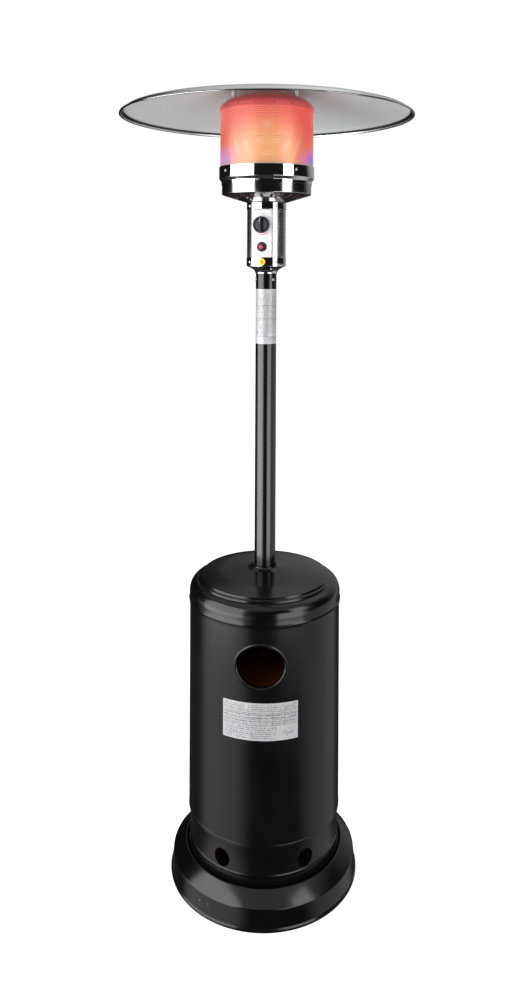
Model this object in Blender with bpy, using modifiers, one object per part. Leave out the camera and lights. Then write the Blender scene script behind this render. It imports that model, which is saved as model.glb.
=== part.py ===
"""Gas patio heater: a mushroom-shaped outdoor heater that stands on a drum-shaped gas bottle housing.

Units are metres and +Z is up. The origin is on the heater's centre line, at floor level.
The front, where the hand hole and the controls are, faces -Y. Azimuths are in degrees, measured
from the front towards +X.
"""

from math import asin, cos, degrees, pi, radians, sin, sqrt

import bmesh
import bpy
from mathutils import Matrix, Vector

# ---------------------------------------------------------------- driving dimensions
GAP = 0.0003                 # clearance between touching pieces
SHEET = 0.0012               # pressed steel sheet
MERGE = 0.00001
SEGMENTS = 32                # facets round the large turned pieces
MEDIUM_SEGMENTS = 24
SMALL_SEGMENTS = 12
TINY_SEGMENTS = 8

RIM_RADIUS = 0.2547          # base, at the floor
SKIRT_TOP_RADIUS = 0.248
SKIRT_TOP = 0.052
SHOULDER_RADIUS = 0.215
SHOULDER_TOP = 0.081
FLANGE_INNER_RADIUS = 0.178
FLANGE_TOP = 0.0762

VENT_RADIUS = 0.203
VENT_TOP = 0.190
VENT_HOLE_RADIUS = 0.023
VENT_HOLE_HEIGHT = 0.131
VENT_AZIMUTHS = (32, 90, 148, 212, 270, 328)
LEDGE_HEIGHT = 0.1755
KIT_HOLE_RADIUS = 0.0035
KIT_HOLE_HEIGHT = 0.032
KIT_HOLE_AZIMUTHS = (-41.0, -34.7)

DECK_RADIUS = 0.2025
DECK_THICKNESS = 0.003
DECK_DRAIN_RADIUS = 0.030

POST_CIRCLE = 0.190
POST_RADIUS = 0.008
POST_WALL = 0.0015
POST_TOP = 0.742
POST_AZIMUTHS = (60, 180, 300)
BRACKET_THICKNESS = 0.004
BRACKET_HUB_RADIUS = 0.048
BRACKET_ARM_HALF_WIDTH = 0.011
BRACKET_HOSE_HOLE = 0.015
SOCKET_HEIGHT = 0.042

POLE_RADIUS = 0.029
POLE_WALL = 0.0015
POLE_TOP = 1.6315
POLE_LABEL_BOTTOM = 1.438
POLE_LABEL_TOP = 1.589
POLE_LABEL_ANGLE = 153.0
NECK_SCREW_HEIGHT = 1.6150
NECK_SCREW_AZIMUTHS = (43, 163, 283)

HOUSING_RADIUS = 0.2065
HOUSING_TOP = 0.7450
HAND_HOLE_AZIMUTH = -2.7
HAND_HOLE_HEIGHT = 0.636
HAND_HOLE_HALF_WIDTH = 0.0704
HAND_HOLE_HALF_HEIGHT = 0.0620
HAND_TRIM_RADIUS = 0.005
RATING_LABEL_BOTTOM = 0.450
RATING_LABEL_TOP = 0.545
RATING_LABEL_AZIMUTH = -3.0
RATING_LABEL_ANGLE = 55.4
LABEL_THICKNESS = 0.0003

LID_SKIRT_RADIUS = 0.2079
LID_SHEET = 0.0010
LID_BOTTOM = 0.730
LID_TOP = 0.8245
LID_SHOULDER = 0.7570        # height where the lid's rounded edge meets its skirt

BOTTLE_RADIUS = 0.1525
BOTTLE_SHEET = 0.003
BOTTLE_SHOULDER = 0.485
BOTTLE_NECK = 0.583
BOTTLE_NECK_RADIUS = 0.016
GAS_AZIMUTH = 120.0          # the side where the regulator and the hose leave the bottle valve
OUTLET_HEIGHT = 0.607
HOSE_RADIUS = 0.0055
HOSE_LOOP = 0.0445
HOSE_TOP = 1.7417

HEAD_TURN = -13.5            # azimuth that the control panel faces
SHELL_RADIUS = 0.0537
BAND_RADIUS = 0.0548
HEAD_BOTTOM = 1.6525
HEAD_TOP = 1.8267
PANEL_WIDTH = 0.054
PANEL_BOTTOM = 1.6770
PANEL_TOP = 1.8070
PANEL_BACK = 0.0477
PANEL_FRONT = 0.0522
KNOB_HEIGHT = 1.765
KNOB_RADIUS = 0.023
KNOB_DEPTH = 0.022
PUSH_TRAVEL = 0.005
IGNITER_HEIGHT = 1.705
BEZEL_RADIUS = 0.0135
BUTTON_RADIUS = 0.0058
BUTTON_REACH = 0.0140        # how far the igniter button stands out of the panel
STICKER_RADIUS = 0.00975
STICKER_HEIGHT = 1.6640

PAN_RADIUS = 0.1242
PAN_BOTTOM = 1.8270
PAN_CORNER = 1.8490
PAN_TOP = 1.8830
PAN_FLAT_RADIUS = 0.0520
SLOT_COUNT = 24
SLOT_CIRCLE = 0.1000
SLOT_WIDTH = 0.0085
SLOT_LENGTH = 0.0300
RING_RADIUS = 0.1320
RING_TOP = 1.9255
SCREEN_RADIUS = 0.1290
SCREEN_BOTTOM = 1.8958
SCREEN_TOP = 2.0890
CAP_RADIUS = 0.1303
CAP_BOTTOM = 2.0800
CAP_CENTRE = 2.1235
CAP_STUD_HEIGHT = 2.1145
STUD_CIRCLE = 0.099
STUD_AZIMUTHS = (-66, 54, 174)
STUD_HOLE_RADIUS = 0.0036

REFLECTOR_RADIUS = 0.4065
REFLECTOR_LIP = 2.0625
REFLECTOR_CENTRE = 2.1460
REFLECTOR_SHEET = 0.0010
CONE_INNER = (0.0600, 2.1455)
CONE_OUTER = (0.3660, 2.0835)
SPACER_BOTTOM = 2.1172
SPACER_RADIUS = 0.0065
STUD_RADIUS = 0.0030


# ---------------------------------------------------------------- scene, materials, collections
for old in list(bpy.data.objects):
    bpy.data.objects.remove(old, do_unlink=True)

parts = bpy.data.collections.new("patio_heater")
cutters = bpy.data.collections.new("cutters")
bpy.context.scene.collection.children.link(parts)
bpy.context.scene.collection.children.link(cutters)


def make_material(name, colour, roughness, metallic):
    material = bpy.data.materials.new(name)
    material.use_nodes = True
    shader = material.node_tree.nodes["Principled BSDF"]
    shader.inputs["Base Color"].default_value = (*colour, 1.0)
    shader.inputs["Roughness"].default_value = roughness
    shader.inputs["Metallic"].default_value = metallic
    return material


BLACK_PAINT = ("black_powder_coat", (0.012, 0.012, 0.013), 0.32, 0.0)
CHROME = ("polished_steel", (0.75, 0.75, 0.76), 0.08, 1.0)
BRUSHED = ("brushed_aluminium", (0.62, 0.61, 0.60), 0.35, 1.0)
ZINC = ("zinc_plated_steel", (0.55, 0.56, 0.58), 0.30, 1.0)
PANEL_WHITE = ("panel_paint", (0.82, 0.82, 0.84), 0.35, 0.0)
BLACK_PLASTIC = ("black_plastic", (0.015, 0.015, 0.016), 0.35, 0.0)
RED_PLASTIC = ("red_plastic", (0.62, 0.05, 0.06), 0.30, 0.0)
RUBBER = ("hose_rubber", (0.02, 0.02, 0.02), 0.60, 0.0)
BRASS = ("brass", (0.70, 0.52, 0.22), 0.25, 1.0)
ORANGE_PAINT = ("orange_bottle_paint", (0.55, 0.16, 0.02), 0.40, 0.0)
FOIL = ("label_foil", (0.72, 0.73, 0.74), 0.35, 0.2)
YELLOW = ("sticker_yellow", (0.86, 0.62, 0.05), 0.45, 0.0)
HOT_SCREEN = ("emitter_steel", (0.80, 0.30, 0.22), 0.40, 0.6)


def finish_with(obj, finish):
    """Gives an object a material of its own with the named finish."""
    kind, colour, roughness, metallic = finish
    obj.data.materials.clear()
    obj.data.materials.append(make_material(f"{obj.name}_{kind}", colour, roughness, metallic))


# ---------------------------------------------------------------- geometry helpers
def around(radius, azimuth, height):
    """Point at a distance from the centre line, in the direction of an azimuth."""
    angle = radians(azimuth)
    return Vector((radius * sin(angle), -radius * cos(angle), height))


def facing(azimuth, distance, height):
    """Placement whose local Z points out along an azimuth, with local Y up."""
    outward = around(1.0, azimuth, 0.0)
    up = Vector((0.0, 0.0, 1.0))
    right = up.cross(outward)
    turn = Matrix((right, up, outward)).transposed().to_4x4()
    return Matrix.Translation(around(distance, azimuth, height)) @ turn


def arc(centre_x, centre_z, half_width, half_height, start, end, steps):
    """Points of an elliptical corner, by angle in degrees, for a turned profile."""
    points = []
    for index in range(steps + 1):
        angle = radians(start + (end - start) * index / steps)
        points.append((centre_x + half_width * cos(angle), centre_z + half_height * sin(angle)))
    return points


def link(obj, collection=parts):
    collection.objects.link(obj)
    return obj


def mesh_object(name, mesh, finish=None, collection=parts):
    obj = link(bpy.data.objects.new(name, mesh), collection)
    if finish:
        finish_with(obj, finish)
    else:
        obj.hide_render = True
        obj.display_type = "WIRE"
    return obj


def turned(name, profile, finish=None, segments=SEGMENTS, closed=True, angle=360.0, collection=parts):
    """A profile turned round Z. A closed profile runs down its outer side and up its inner side."""
    count = len(profile)
    vertices = [(x, 0.0, z) for x, z in profile]
    edges = [(index, index + 1) for index in range(count - 1)]
    if closed and profile[0][0] > MERGE:
        edges.append((count - 1, 0))
    mesh = bpy.data.meshes.new(name)
    mesh.from_pydata(vertices, edges, [])
    obj = mesh_object(name, mesh, finish, collection)
    screw = obj.modifiers.new("turn", "SCREW")
    screw.axis = "Z"
    screw.angle = radians(angle)
    screw.steps = segments
    screw.render_steps = segments
    screw.use_merge_vertices = True
    screw.merge_threshold = MERGE
    screw.use_smooth_shade = True
    return obj


def spun(name, profile, finish, thickness=SHEET, segments=SEGMENTS, angle=360.0):
    """A sheet metal piece: an open outer profile turned round Z, thickened inwards."""
    obj = turned(name, profile, finish, segments, closed=False, angle=angle)
    solid = obj.modifiers.new("sheet", "SOLIDIFY")
    solid.thickness = thickness
    solid.offset = -1.0
    solid.use_even_offset = True
    solid.use_quality_normals = True
    return obj


def tube_profile(outer, inner, bottom, top):
    return [(outer, top), (outer, bottom), (inner, bottom), (inner, top)]


def rod_profile(radius, bottom, top):
    return [(0.0, top), (radius, top), (radius, bottom), (0.0, bottom)]


def box(name, size, matrix, finish=None, collection=parts, bevel=0.0):
    """A block of the given size, centred on its placement, with rounded edges where asked."""
    mesh = bpy.data.meshes.new(name)
    shape = bmesh.new()
    bmesh.ops.create_cube(shape, size=1.0, matrix=Matrix.Diagonal((*size, 1.0)))
    shape.to_mesh(mesh)
    shape.free()
    obj = mesh_object(name, mesh, finish, collection)
    obj.matrix_world = matrix
    if bevel:
        rounding = obj.modifiers.new("rounding", "BEVEL")
        rounding.width = bevel
        rounding.segments = 2
    return obj


def cylinder(name, radius, length, matrix, finish=None, segments=SMALL_SEGMENTS, collection=parts):
    """A cylinder along the local Z of its placement, centred on it."""
    mesh = bpy.data.meshes.new(name)
    shape = bmesh.new()
    bmesh.ops.create_cone(
        shape,
        cap_ends=True,
        segments=segments,
        radius1=radius,
        radius2=radius,
        depth=length,
    )
    shape.to_mesh(mesh)
    shape.free()
    obj = mesh_object(name, mesh, finish, collection)
    obj.matrix_world = matrix
    return obj


def combine(obj, other, operation):
    step = obj.modifiers.new(f"{operation.lower()}_{other.name}"[:60], "BOOLEAN")
    step.operation = operation
    step.object = other
    step.solver = "EXACT"


def cut_round(obj, name, radius, length, matrix, segments=SMALL_SEGMENTS):
    cutter = cylinder(name, radius, length, matrix, segments=segments, collection=cutters)
    combine(obj, cutter, "DIFFERENCE")


def mesh_from_curve(name, curve, finish, collection=parts):
    """Turns a curve into a mesh object with its caps welded on."""
    temporary = bpy.data.objects.new(f"{name}_curve", curve)
    bpy.context.scene.collection.objects.link(temporary)
    evaluated = temporary.evaluated_get(bpy.context.evaluated_depsgraph_get())
    mesh = bpy.data.meshes.new_from_object(evaluated)
    mesh.name = name
    shape = bmesh.new()
    shape.from_mesh(mesh)
    bmesh.ops.remove_doubles(shape, verts=shape.verts, dist=MERGE)
    bmesh.ops.recalc_face_normals(shape, faces=shape.faces)
    shape.to_mesh(mesh)
    shape.free()
    bpy.data.objects.remove(temporary, do_unlink=True)
    return mesh_object(name, mesh, finish, collection)


def flat_plate(name, outlines, thickness, finish):
    """A plate in the XY plane from an outline and the outlines of its holes."""
    curve = bpy.data.curves.new(name, "CURVE")
    curve.dimensions = "2D"
    curve.fill_mode = "BOTH"
    curve.extrude = thickness / 2
    for outline in outlines:
        spline = curve.splines.new("POLY")
        spline.points.add(len(outline) - 1)
        for point, (x, y) in zip(spline.points, outline):
            point.co = (x, y, 0.0, 1.0)
        spline.use_cyclic_u = True
    return mesh_from_curve(name, curve, finish)


def circle_outline(x, y, radius, count):
    angles = [2 * pi * index / count for index in range(count)]
    return [(x + radius * cos(angle), y + radius * sin(angle)) for angle in angles]


def smooth_route(points, spacing):
    """Evenly spaced points on a Catmull-Rom curve through the given route."""
    padded = [2 * points[0] - points[1], *points, 2 * points[-1] - points[-2]]
    fine = []
    for index in range(1, len(padded) - 2):
        p0, p1, p2, p3 = padded[index - 1:index + 3]
        for step in range(40):
            t = step / 40
            fine.append(
                0.5 * (2 * p1 + (p2 - p0) * t + (2 * p0 - 5 * p1 + 4 * p2 - p3) * t ** 2
                       + (3 * p1 - p0 - 3 * p2 + p3) * t ** 3)
            )
    fine.append(points[-1].copy())
    lengths = [0.0]
    for before, after in zip(fine, fine[1:]):
        lengths.append(lengths[-1] + (after - before).length)
    count = max(2, round(lengths[-1] / spacing))
    route = []
    place = 0
    for index in range(count + 1):
        target = lengths[-1] * index / count
        while place < len(lengths) - 2 and lengths[place + 1] < target:
            place += 1
        share = (target - lengths[place]) / (lengths[place + 1] - lengths[place])
        route.append(fine[place].lerp(fine[place + 1], share))
    return route


def hose(name, route, radius, finish):
    curve = bpy.data.curves.new(name, "CURVE")
    curve.dimensions = "3D"
    curve.bevel_depth = radius
    curve.bevel_resolution = 2
    curve.use_fill_caps = True
    spline = curve.splines.new("POLY")
    spline.points.add(len(route) - 1)
    for point, place in zip(spline.points, route):
        point.co = (*place, 1.0)
    return mesh_from_curve(name, curve, finish)


# ---------------------------------------------------------------- base
def make_base():
    skirt_profile = [
        (FLANGE_INNER_RADIUS, FLANGE_TOP),
        (0.2060, FLANGE_TOP),
        (0.2125, SHOULDER_TOP),
        (SHOULDER_RADIUS, SHOULDER_TOP),
        (SKIRT_TOP_RADIUS, SKIRT_TOP),
        (0.2530, 0.0070),
        (RIM_RADIUS, 0.0055),
        (RIM_RADIUS, 0.0012),
        (RIM_RADIUS - 0.0010, 0.0),
        (RIM_RADIUS - 0.0075, 0.0),
    ]
    skirt = spun("base_skirt", skirt_profile, BLACK_PAINT)
    for index, azimuth in enumerate(KIT_HOLE_AZIMUTHS):
        place = facing(azimuth, 0.250, KIT_HOLE_HEIGHT)
        cut_round(skirt, f"cut_kit_hole_{index + 1}", KIT_HOLE_RADIUS, 0.02, place, TINY_SEGMENTS)

    ledge_radius = HOUSING_RADIUS - 0.0002
    flange = FLANGE_TOP + GAP
    vent_profile = [
        (VENT_RADIUS, VENT_TOP),
        (VENT_RADIUS, LEDGE_HEIGHT),
        (ledge_radius, LEDGE_HEIGHT),
        (ledge_radius, LEDGE_HEIGHT - 0.0030),
        (VENT_RADIUS, LEDGE_HEIGHT - 0.0045),
        (VENT_RADIUS, flange),
        (FLANGE_INNER_RADIUS, flange),
    ]
    vent = spun("vent_ring", vent_profile, BLACK_PAINT)
    for index, azimuth in enumerate(VENT_AZIMUTHS):
        place = facing(azimuth, VENT_RADIUS, VENT_HOLE_HEIGHT)
        cut_round(vent, f"cut_vent_{index + 1}", VENT_HOLE_RADIUS, 0.03, place)

    deck_top = FLANGE_TOP - SHEET - GAP
    deck_profile = tube_profile(DECK_RADIUS, DECK_DRAIN_RADIUS, deck_top - DECK_THICKNESS, deck_top)
    deck = turned("base_plate", deck_profile, ZINC)
    for index, azimuth in enumerate(POST_AZIMUTHS):
        place = Matrix.Translation(around(POST_CIRCLE, azimuth, FLANGE_TOP))
        for sheet_piece in (skirt, vent, deck):
            name = f"cut_{sheet_piece.name}_bolt_{index + 1}"
            cut_round(sheet_piece, name, 0.0033, 0.03, place, TINY_SEGMENTS)


def make_bolt(name, matrix, shank, length, head, head_height, finish=ZINC):
    """A hexagon bolt: the shank runs along local -Z and the head stands on local +Z."""
    shank_segments = TINY_SEGMENTS
    profile = [(0.0, 0.0), (shank, 0.0), (shank, -length), (0.0, -length)]
    bolt = turned(name, profile, finish, shank_segments)
    bolt.matrix_world = matrix
    place = matrix @ Matrix.Translation((0, 0, head_height / 2 - MERGE))
    hexagon = cylinder(f"{name}_hexagon", head, head_height, place, segments=6, collection=cutters)
    combine(bolt, hexagon, "UNION")


def make_posts():
    post_bottom = FLANGE_TOP + SHEET + 2 * GAP
    half_turn = Matrix.Rotation(pi, 4, "X")
    deck_bottom = FLANGE_TOP - SHEET - GAP - DECK_THICKNESS
    bracket_top = POST_TOP + GAP + BRACKET_THICKNESS
    for index, azimuth in enumerate(POST_AZIMUTHS):
        profile = tube_profile(POST_RADIUS, POST_RADIUS - POST_WALL, post_bottom, POST_TOP)
        post = turned(f"support_post_{index + 1}", profile, ZINC, SMALL_SEGMENTS)
        post.location = around(POST_CIRCLE, azimuth, 0.0)
        low = Matrix.Translation(around(POST_CIRCLE, azimuth, deck_bottom - GAP)) @ half_turn
        make_bolt(f"post_bolt_{index + 1}", low, 0.003, 0.018, 0.0055, 0.004)
        high = Matrix.Translation(around(POST_CIRCLE, azimuth, bracket_top + GAP))
        make_bolt(f"bracket_bolt_{index + 1}", high, 0.003, 0.014, 0.0055, 0.004)


def make_pole_bracket():
    """A three-armed plate on the posts, with a socket that the pole stands in."""
    outline = []
    tip_radius = BRACKET_ARM_HALF_WIDTH
    root_angle = degrees(asin(BRACKET_ARM_HALF_WIDTH / BRACKET_HUB_RADIUS))
    for azimuth in POST_AZIMUTHS:
        outline.append(around(BRACKET_HUB_RADIUS, azimuth - root_angle, 0))
        tip = around(POST_CIRCLE, azimuth, 0)
        for step in range(5):
            bearing = azimuth - 90 + 45 * step
            outline.append(tip + around(tip_radius, bearing, 0))
        outline.append(around(BRACKET_HUB_RADIUS, azimuth + root_angle, 0))
        for turn in (48, 72):
            outline.append(around(BRACKET_HUB_RADIUS, azimuth + turn, 0))
    holes = [circle_outline(0, 0, BRACKET_HOSE_HOLE, SMALL_SEGMENTS)]
    for azimuth in POST_AZIMUTHS:
        centre = around(POST_CIRCLE, azimuth, 0)
        holes.append(circle_outline(centre.x, centre.y, 0.0033, TINY_SEGMENTS))
    outlines = [[(point.x, point.y) for point in outline], *holes]
    plate = flat_plate("pole_bracket", outlines, BRACKET_THICKNESS, ZINC)
    plate.location.z = POST_TOP + GAP + BRACKET_THICKNESS / 2

    weld = BRACKET_THICKNESS / 4
    profile = tube_profile(
        POLE_RADIUS + 0.0032,
        POLE_RADIUS + GAP,
        BRACKET_THICKNESS / 2 - weld,
        BRACKET_THICKNESS / 2 + SOCKET_HEIGHT,
    )
    socket = turned("socket_shape", profile, collection=cutters)
    socket.location = plate.location
    combine(plate, socket, "UNION")


def make_pole():
    bottom = POST_TOP + 2 * GAP + BRACKET_THICKNESS
    pole = turned("pole", tube_profile(POLE_RADIUS, POLE_RADIUS - POLE_WALL, bottom, POLE_TOP), BLACK_PAINT)
    for index, azimuth in enumerate(NECK_SCREW_AZIMUTHS):
        place = facing(azimuth, POLE_RADIUS - 0.001, NECK_SCREW_HEIGHT)
        cut_round(pole, f"cut_pole_screw_{index + 1}", 0.0028, 0.012, place, TINY_SEGMENTS)

    label_radius = POLE_RADIUS + 2 * LABEL_THICKNESS
    label_profile = [(label_radius, POLE_LABEL_TOP), (label_radius, POLE_LABEL_BOTTOM)]
    facets = round(POLE_LABEL_ANGLE * SEGMENTS / 360)
    label = spun("pole_label", label_profile, FOIL, LABEL_THICKNESS, facets, POLE_LABEL_ANGLE)
    label.rotation_euler.z = radians(-90 - POLE_LABEL_ANGLE / 2)


def make_screw(name, azimuth, height, surface_radius, head_radius, length):
    """A pan-head screw driven in towards the centre line."""
    profile = [
        (0.0, 0.0026),
        (head_radius * 0.6, 0.0024),
        (head_radius, 0.0012),
        (head_radius, 0.0),
        (0.0022, 0.0),
        (0.0022, -length),
        (0.0, -length),
    ]
    screw = turned(name, profile, ZINC, TINY_SEGMENTS)
    screw.matrix_world = facing(azimuth, surface_radius, height)


# ---------------------------------------------------------------- gas bottle and its fittings
def ellipse_profile(centre, radius, height, start, end, steps):
    points = []
    for index in range(steps + 1):
        angle = radians(start + (end - start) * index / steps)
        points.append((radius * cos(angle), centre + height * sin(angle)))
    return points


def make_gas_bottle():
    bottom = 0.158
    dome = ellipse_profile(BOTTLE_SHOULDER, BOTTLE_RADIUS, 0.090, 80, 0, 4)
    bowl = ellipse_profile(bottom, BOTTLE_RADIUS, 0.068, 0, -70, 3)
    neck = [(BOTTLE_NECK_RADIUS, BOTTLE_NECK), (BOTTLE_NECK_RADIUS, 0.5755)]
    profile = [*neck, *dome, *bowl, (0.0, bottom - 0.068)]
    spun("gas_bottle", profile, ORANGE_PAINT, BOTTLE_SHEET, MEDIUM_SEGMENTS)

    foot_bottom = FLANGE_TOP - SHEET
    foot = tube_profile(0.1235, 0.1205, foot_bottom, 0.1090)
    turned("bottle_foot_ring", foot, ORANGE_PAINT, MEDIUM_SEGMENTS)

    valve_profile = [
        (0.0, 0.6280),
        (0.0085, 0.6280),
        (0.0085, 0.6205),
        (0.0130, 0.6190),
        (0.0130, 0.5950),
        (0.0155, 0.5930),
        (0.0155, BOTTLE_NECK + GAP),
        (0.0115, BOTTLE_NECK + GAP),
        (0.0115, 0.5640),
        (0.0, 0.5640),
    ]
    valve = turned("bottle_valve", valve_profile, BRASS, SMALL_SEGMENTS)
    place = facing(GAS_AZIMUTH, 0.016, OUTLET_HEIGHT)
    outlet = cylinder("outlet_shape", 0.0090, 0.018, place, collection=cutters)
    combine(valve, outlet, "UNION")

    wheel_profile = [
        (0.0, 0.6480),
        (0.0235, 0.6480),
        (0.0260, 0.6455),
        (0.0260, 0.6375),
        (0.0235, 0.6350),
        (0.0070, 0.6350),
        (0.0070, 0.6280 + GAP),
        (0.0, 0.6280 + GAP),
    ]
    wheel = turned("valve_handwheel", wheel_profile, BLACK_PLASTIC, SMALL_SEGMENTS)
    for index in range(6):
        place = Matrix.Translation(around(0.0290, 60 * index, 0.6415))
        cut_round(wheel, f"cut_grip_{index + 1}", 0.0060, 0.03, place, TINY_SEGMENTS)


def make_regulator_and_hose():
    start = 0.0253
    body_profile = [
        (0.0, 0.6270),
        (0.0200, 0.6270),
        (0.0270, 0.6210),
        (0.0270, 0.5960),
        (0.0220, 0.5900),
        (0.0, 0.5900),
    ]
    body = turned("gas_regulator", body_profile, ZINC, SMALL_SEGMENTS)
    body.location = around(0.0700, GAS_AZIMUTH, 0.0)
    inlet_place = facing(GAS_AZIMUTH, start + 0.012, OUTLET_HEIGHT)
    inlet = cylinder("inlet_shape", 0.0135, 0.024, inlet_place, segments=6, collection=cutters)
    spout_place = facing(GAS_AZIMUTH, 0.0980, OUTLET_HEIGHT)
    spout = cylinder("spout_shape", 0.0060, 0.016, spout_place, collection=cutters)
    combine(body, inlet, "UNION")
    combine(body, spout, "UNION")

    upper_run = OUTLET_HEIGHT + 2 * HOSE_LOOP
    bend = 0.125
    route = [around(reach, GAS_AZIMUTH, OUTLET_HEIGHT) for reach in (0.1072, 0.1160)]
    for angle in (-90, -45, 0, 45, 90):
        reach = bend + HOSE_LOOP * cos(radians(angle))
        height = OUTLET_HEIGHT + HOSE_LOOP * (1 + sin(radians(angle)))
        route.append(around(reach, GAS_AZIMUTH, height))
    for angle in (0, 30, 60, 90):
        reach = HOSE_LOOP * (1 - sin(radians(angle)))
        height = upper_run + HOSE_LOOP * (1 - cos(radians(angle)))
        route.append(around(reach, GAS_AZIMUTH, height))
    for share in (0.25, 0.5, 0.75, 1.0):
        height = upper_run + HOSE_LOOP + share * (HOSE_TOP - upper_run - HOSE_LOOP)
        route.append(Vector((0.0, 0.0, height)))
    hose("gas_hose", smooth_route(route, 6 * HOSE_RADIUS), HOSE_RADIUS, RUBBER)


# ---------------------------------------------------------------- lifting housing
def make_housing():
    bottom = LEDGE_HEIGHT + GAP
    wall = tube_profile(HOUSING_RADIUS, HOUSING_RADIUS - SHEET, bottom, HOUSING_TOP)
    housing = turned("tank_housing", wall, BLACK_PAINT)
    hole = cylinder(
        "cut_hand_hole",
        1.0,
        0.06,
        facing(HAND_HOLE_AZIMUTH, HOUSING_RADIUS, HAND_HOLE_HEIGHT)
        @ Matrix.Diagonal((HAND_HOLE_HALF_WIDTH + 2 * GAP, HAND_HOLE_HALF_HEIGHT + 2 * GAP, 1.0, 1.0)),
        segments=MEDIUM_SEGMENTS,
        collection=cutters,
    )
    combine(housing, hole, "DIFFERENCE")

    trim_points = []
    half_width = HAND_HOLE_HALF_WIDTH - HAND_TRIM_RADIUS
    half_height = HAND_HOLE_HALF_HEIGHT - HAND_TRIM_RADIUS
    ring_radius = HOUSING_RADIUS - 0.0006
    for index in range(MEDIUM_SEGMENTS):
        angle = 2 * pi * index / MEDIUM_SEGMENTS
        across = half_width * cos(angle)
        depth = sqrt(ring_radius ** 2 - across ** 2)
        frame = facing(HAND_HOLE_AZIMUTH, 0.0, HAND_HOLE_HEIGHT)
        trim_points.append(frame @ Vector((across, half_height * sin(angle), depth)))
    curve = bpy.data.curves.new("hand_hole_trim", "CURVE")
    curve.dimensions = "3D"
    curve.bevel_depth = HAND_TRIM_RADIUS
    curve.bevel_resolution = 1
    spline = curve.splines.new("POLY")
    spline.points.add(len(trim_points) - 1)
    for point, place in zip(spline.points, trim_points):
        point.co = (*place, 1.0)
    spline.use_cyclic_u = True
    mesh_from_curve("hand_hole_trim", curve, BLACK_PAINT)

    lid_profile = [
        (0.0328, LID_TOP),
        (0.0480, 0.8165),
        (0.1250, 0.8105),
        (0.1750, 0.8000),
        (0.1768, 0.7945),
        (0.1815, 0.7925),
        (0.1830, 0.7872),
        (0.1890, 0.7865),
        *arc(0.1890, LID_SHOULDER, LID_SKIRT_RADIUS - 0.1890, 0.0290, 72, 0, 4),
        (LID_SKIRT_RADIUS, 0.7430),
        (LID_SKIRT_RADIUS + 0.0016, 0.7400),
        (LID_SKIRT_RADIUS, 0.7370),
        (LID_SKIRT_RADIUS, LID_BOTTOM),
    ]
    spun("housing_lid", lid_profile, BLACK_PAINT, LID_SHEET)
    bush = tube_profile(0.0315, POLE_RADIUS + 2 * GAP + LABEL_THICKNESS, 0.8060, 0.8235)
    turned("lid_bush", bush, BLACK_PLASTIC, MEDIUM_SEGMENTS)

    label_radius = HOUSING_RADIUS + 2 * LABEL_THICKNESS
    label_profile = [(label_radius, RATING_LABEL_TOP), (label_radius, RATING_LABEL_BOTTOM)]
    label = spun("rating_label", label_profile, FOIL, LABEL_THICKNESS, 20, RATING_LABEL_ANGLE)
    label.rotation_euler.z = radians(-90 + RATING_LABEL_AZIMUTH - RATING_LABEL_ANGLE / 2)


# ---------------------------------------------------------------- control head
def make_neck():
    neck_profile = [
        (SHELL_RADIUS, HEAD_BOTTOM),
        (SHELL_RADIUS, HEAD_BOTTOM - 0.0012),
        (0.0430, 1.6470),
        (0.0340, 1.6410),
        (0.0306, 1.6345),
        (0.0300, 1.6318),
        (0.0270, 1.6318),
        (0.0270, 1.5900),
    ]
    neck = spun("neck_sleeve", neck_profile, CHROME, 0.0010, MEDIUM_SEGMENTS)
    for index, azimuth in enumerate(NECK_SCREW_AZIMUTHS):
        place = facing(azimuth, POLE_RADIUS - 0.001, NECK_SCREW_HEIGHT)
        cut_round(neck, f"cut_neck_screw_{index + 1}", 0.0028, 0.012, place, TINY_SEGMENTS)
        make_screw(f"neck_screw_{index + 1}", azimuth, NECK_SCREW_HEIGHT, POLE_RADIUS + GAP, 0.0045, 0.006)


def make_control_casing():
    shell_bottom = HEAD_BOTTOM + GAP
    shell_profile = tube_profile(SHELL_RADIUS, SHELL_RADIUS - SHEET, shell_bottom, HEAD_TOP)
    shell = turned("control_shell", shell_profile, CHROME, MEDIUM_SEGMENTS)
    window_size = (PANEL_WIDTH - 0.0028, PANEL_TOP - PANEL_BOTTOM + 2 * GAP, 0.02)
    middle = (PANEL_TOP + PANEL_BOTTOM) / 2
    window = box("cut_window", window_size, facing(HEAD_TURN, SHELL_RADIUS, middle), collection=cutters)
    combine(shell, window, "DIFFERENCE")

    inner = SHELL_RADIUS + GAP
    lower = tube_profile(BAND_RADIUS, inner, 1.6515, 1.6762)
    turned("control_band_lower", lower, CHROME, MEDIUM_SEGMENTS)
    upper = tube_profile(BAND_RADIUS, inner, 1.8080, HEAD_TOP)
    turned("control_band_upper", upper, CHROME, MEDIUM_SEGMENTS)

    panel_size = (PANEL_WIDTH, PANEL_TOP - PANEL_BOTTOM, PANEL_FRONT - PANEL_BACK)
    panel_middle = (PANEL_FRONT + PANEL_BACK) / 2
    panel = box("control_panel", panel_size, facing(HEAD_TURN, panel_middle, middle), PANEL_WHITE)
    cut_round(panel, "cut_spindle", 0.0060, 0.03, facing(HEAD_TURN, panel_middle, KNOB_HEIGHT))
    cut_round(panel, "cut_igniter", 0.0090, 0.03, facing(HEAD_TURN, panel_middle, IGNITER_HEIGHT))

    outer = BAND_RADIUS + 2 * LABEL_THICKNESS
    profile = [(outer, STICKER_HEIGHT + 0.012), (outer, STICKER_HEIGHT - 0.012)]
    sticker = spun("warning_sticker", profile, YELLOW, LABEL_THICKNESS, 120)
    disc = cylinder(
        "sticker_outline",
        STICKER_RADIUS,
        0.02,
        facing(HEAD_TURN, BAND_RADIUS, STICKER_HEIGHT),
        segments=MEDIUM_SEGMENTS,
        collection=cutters,
    )
    combine(sticker, disc, "INTERSECT")


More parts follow.
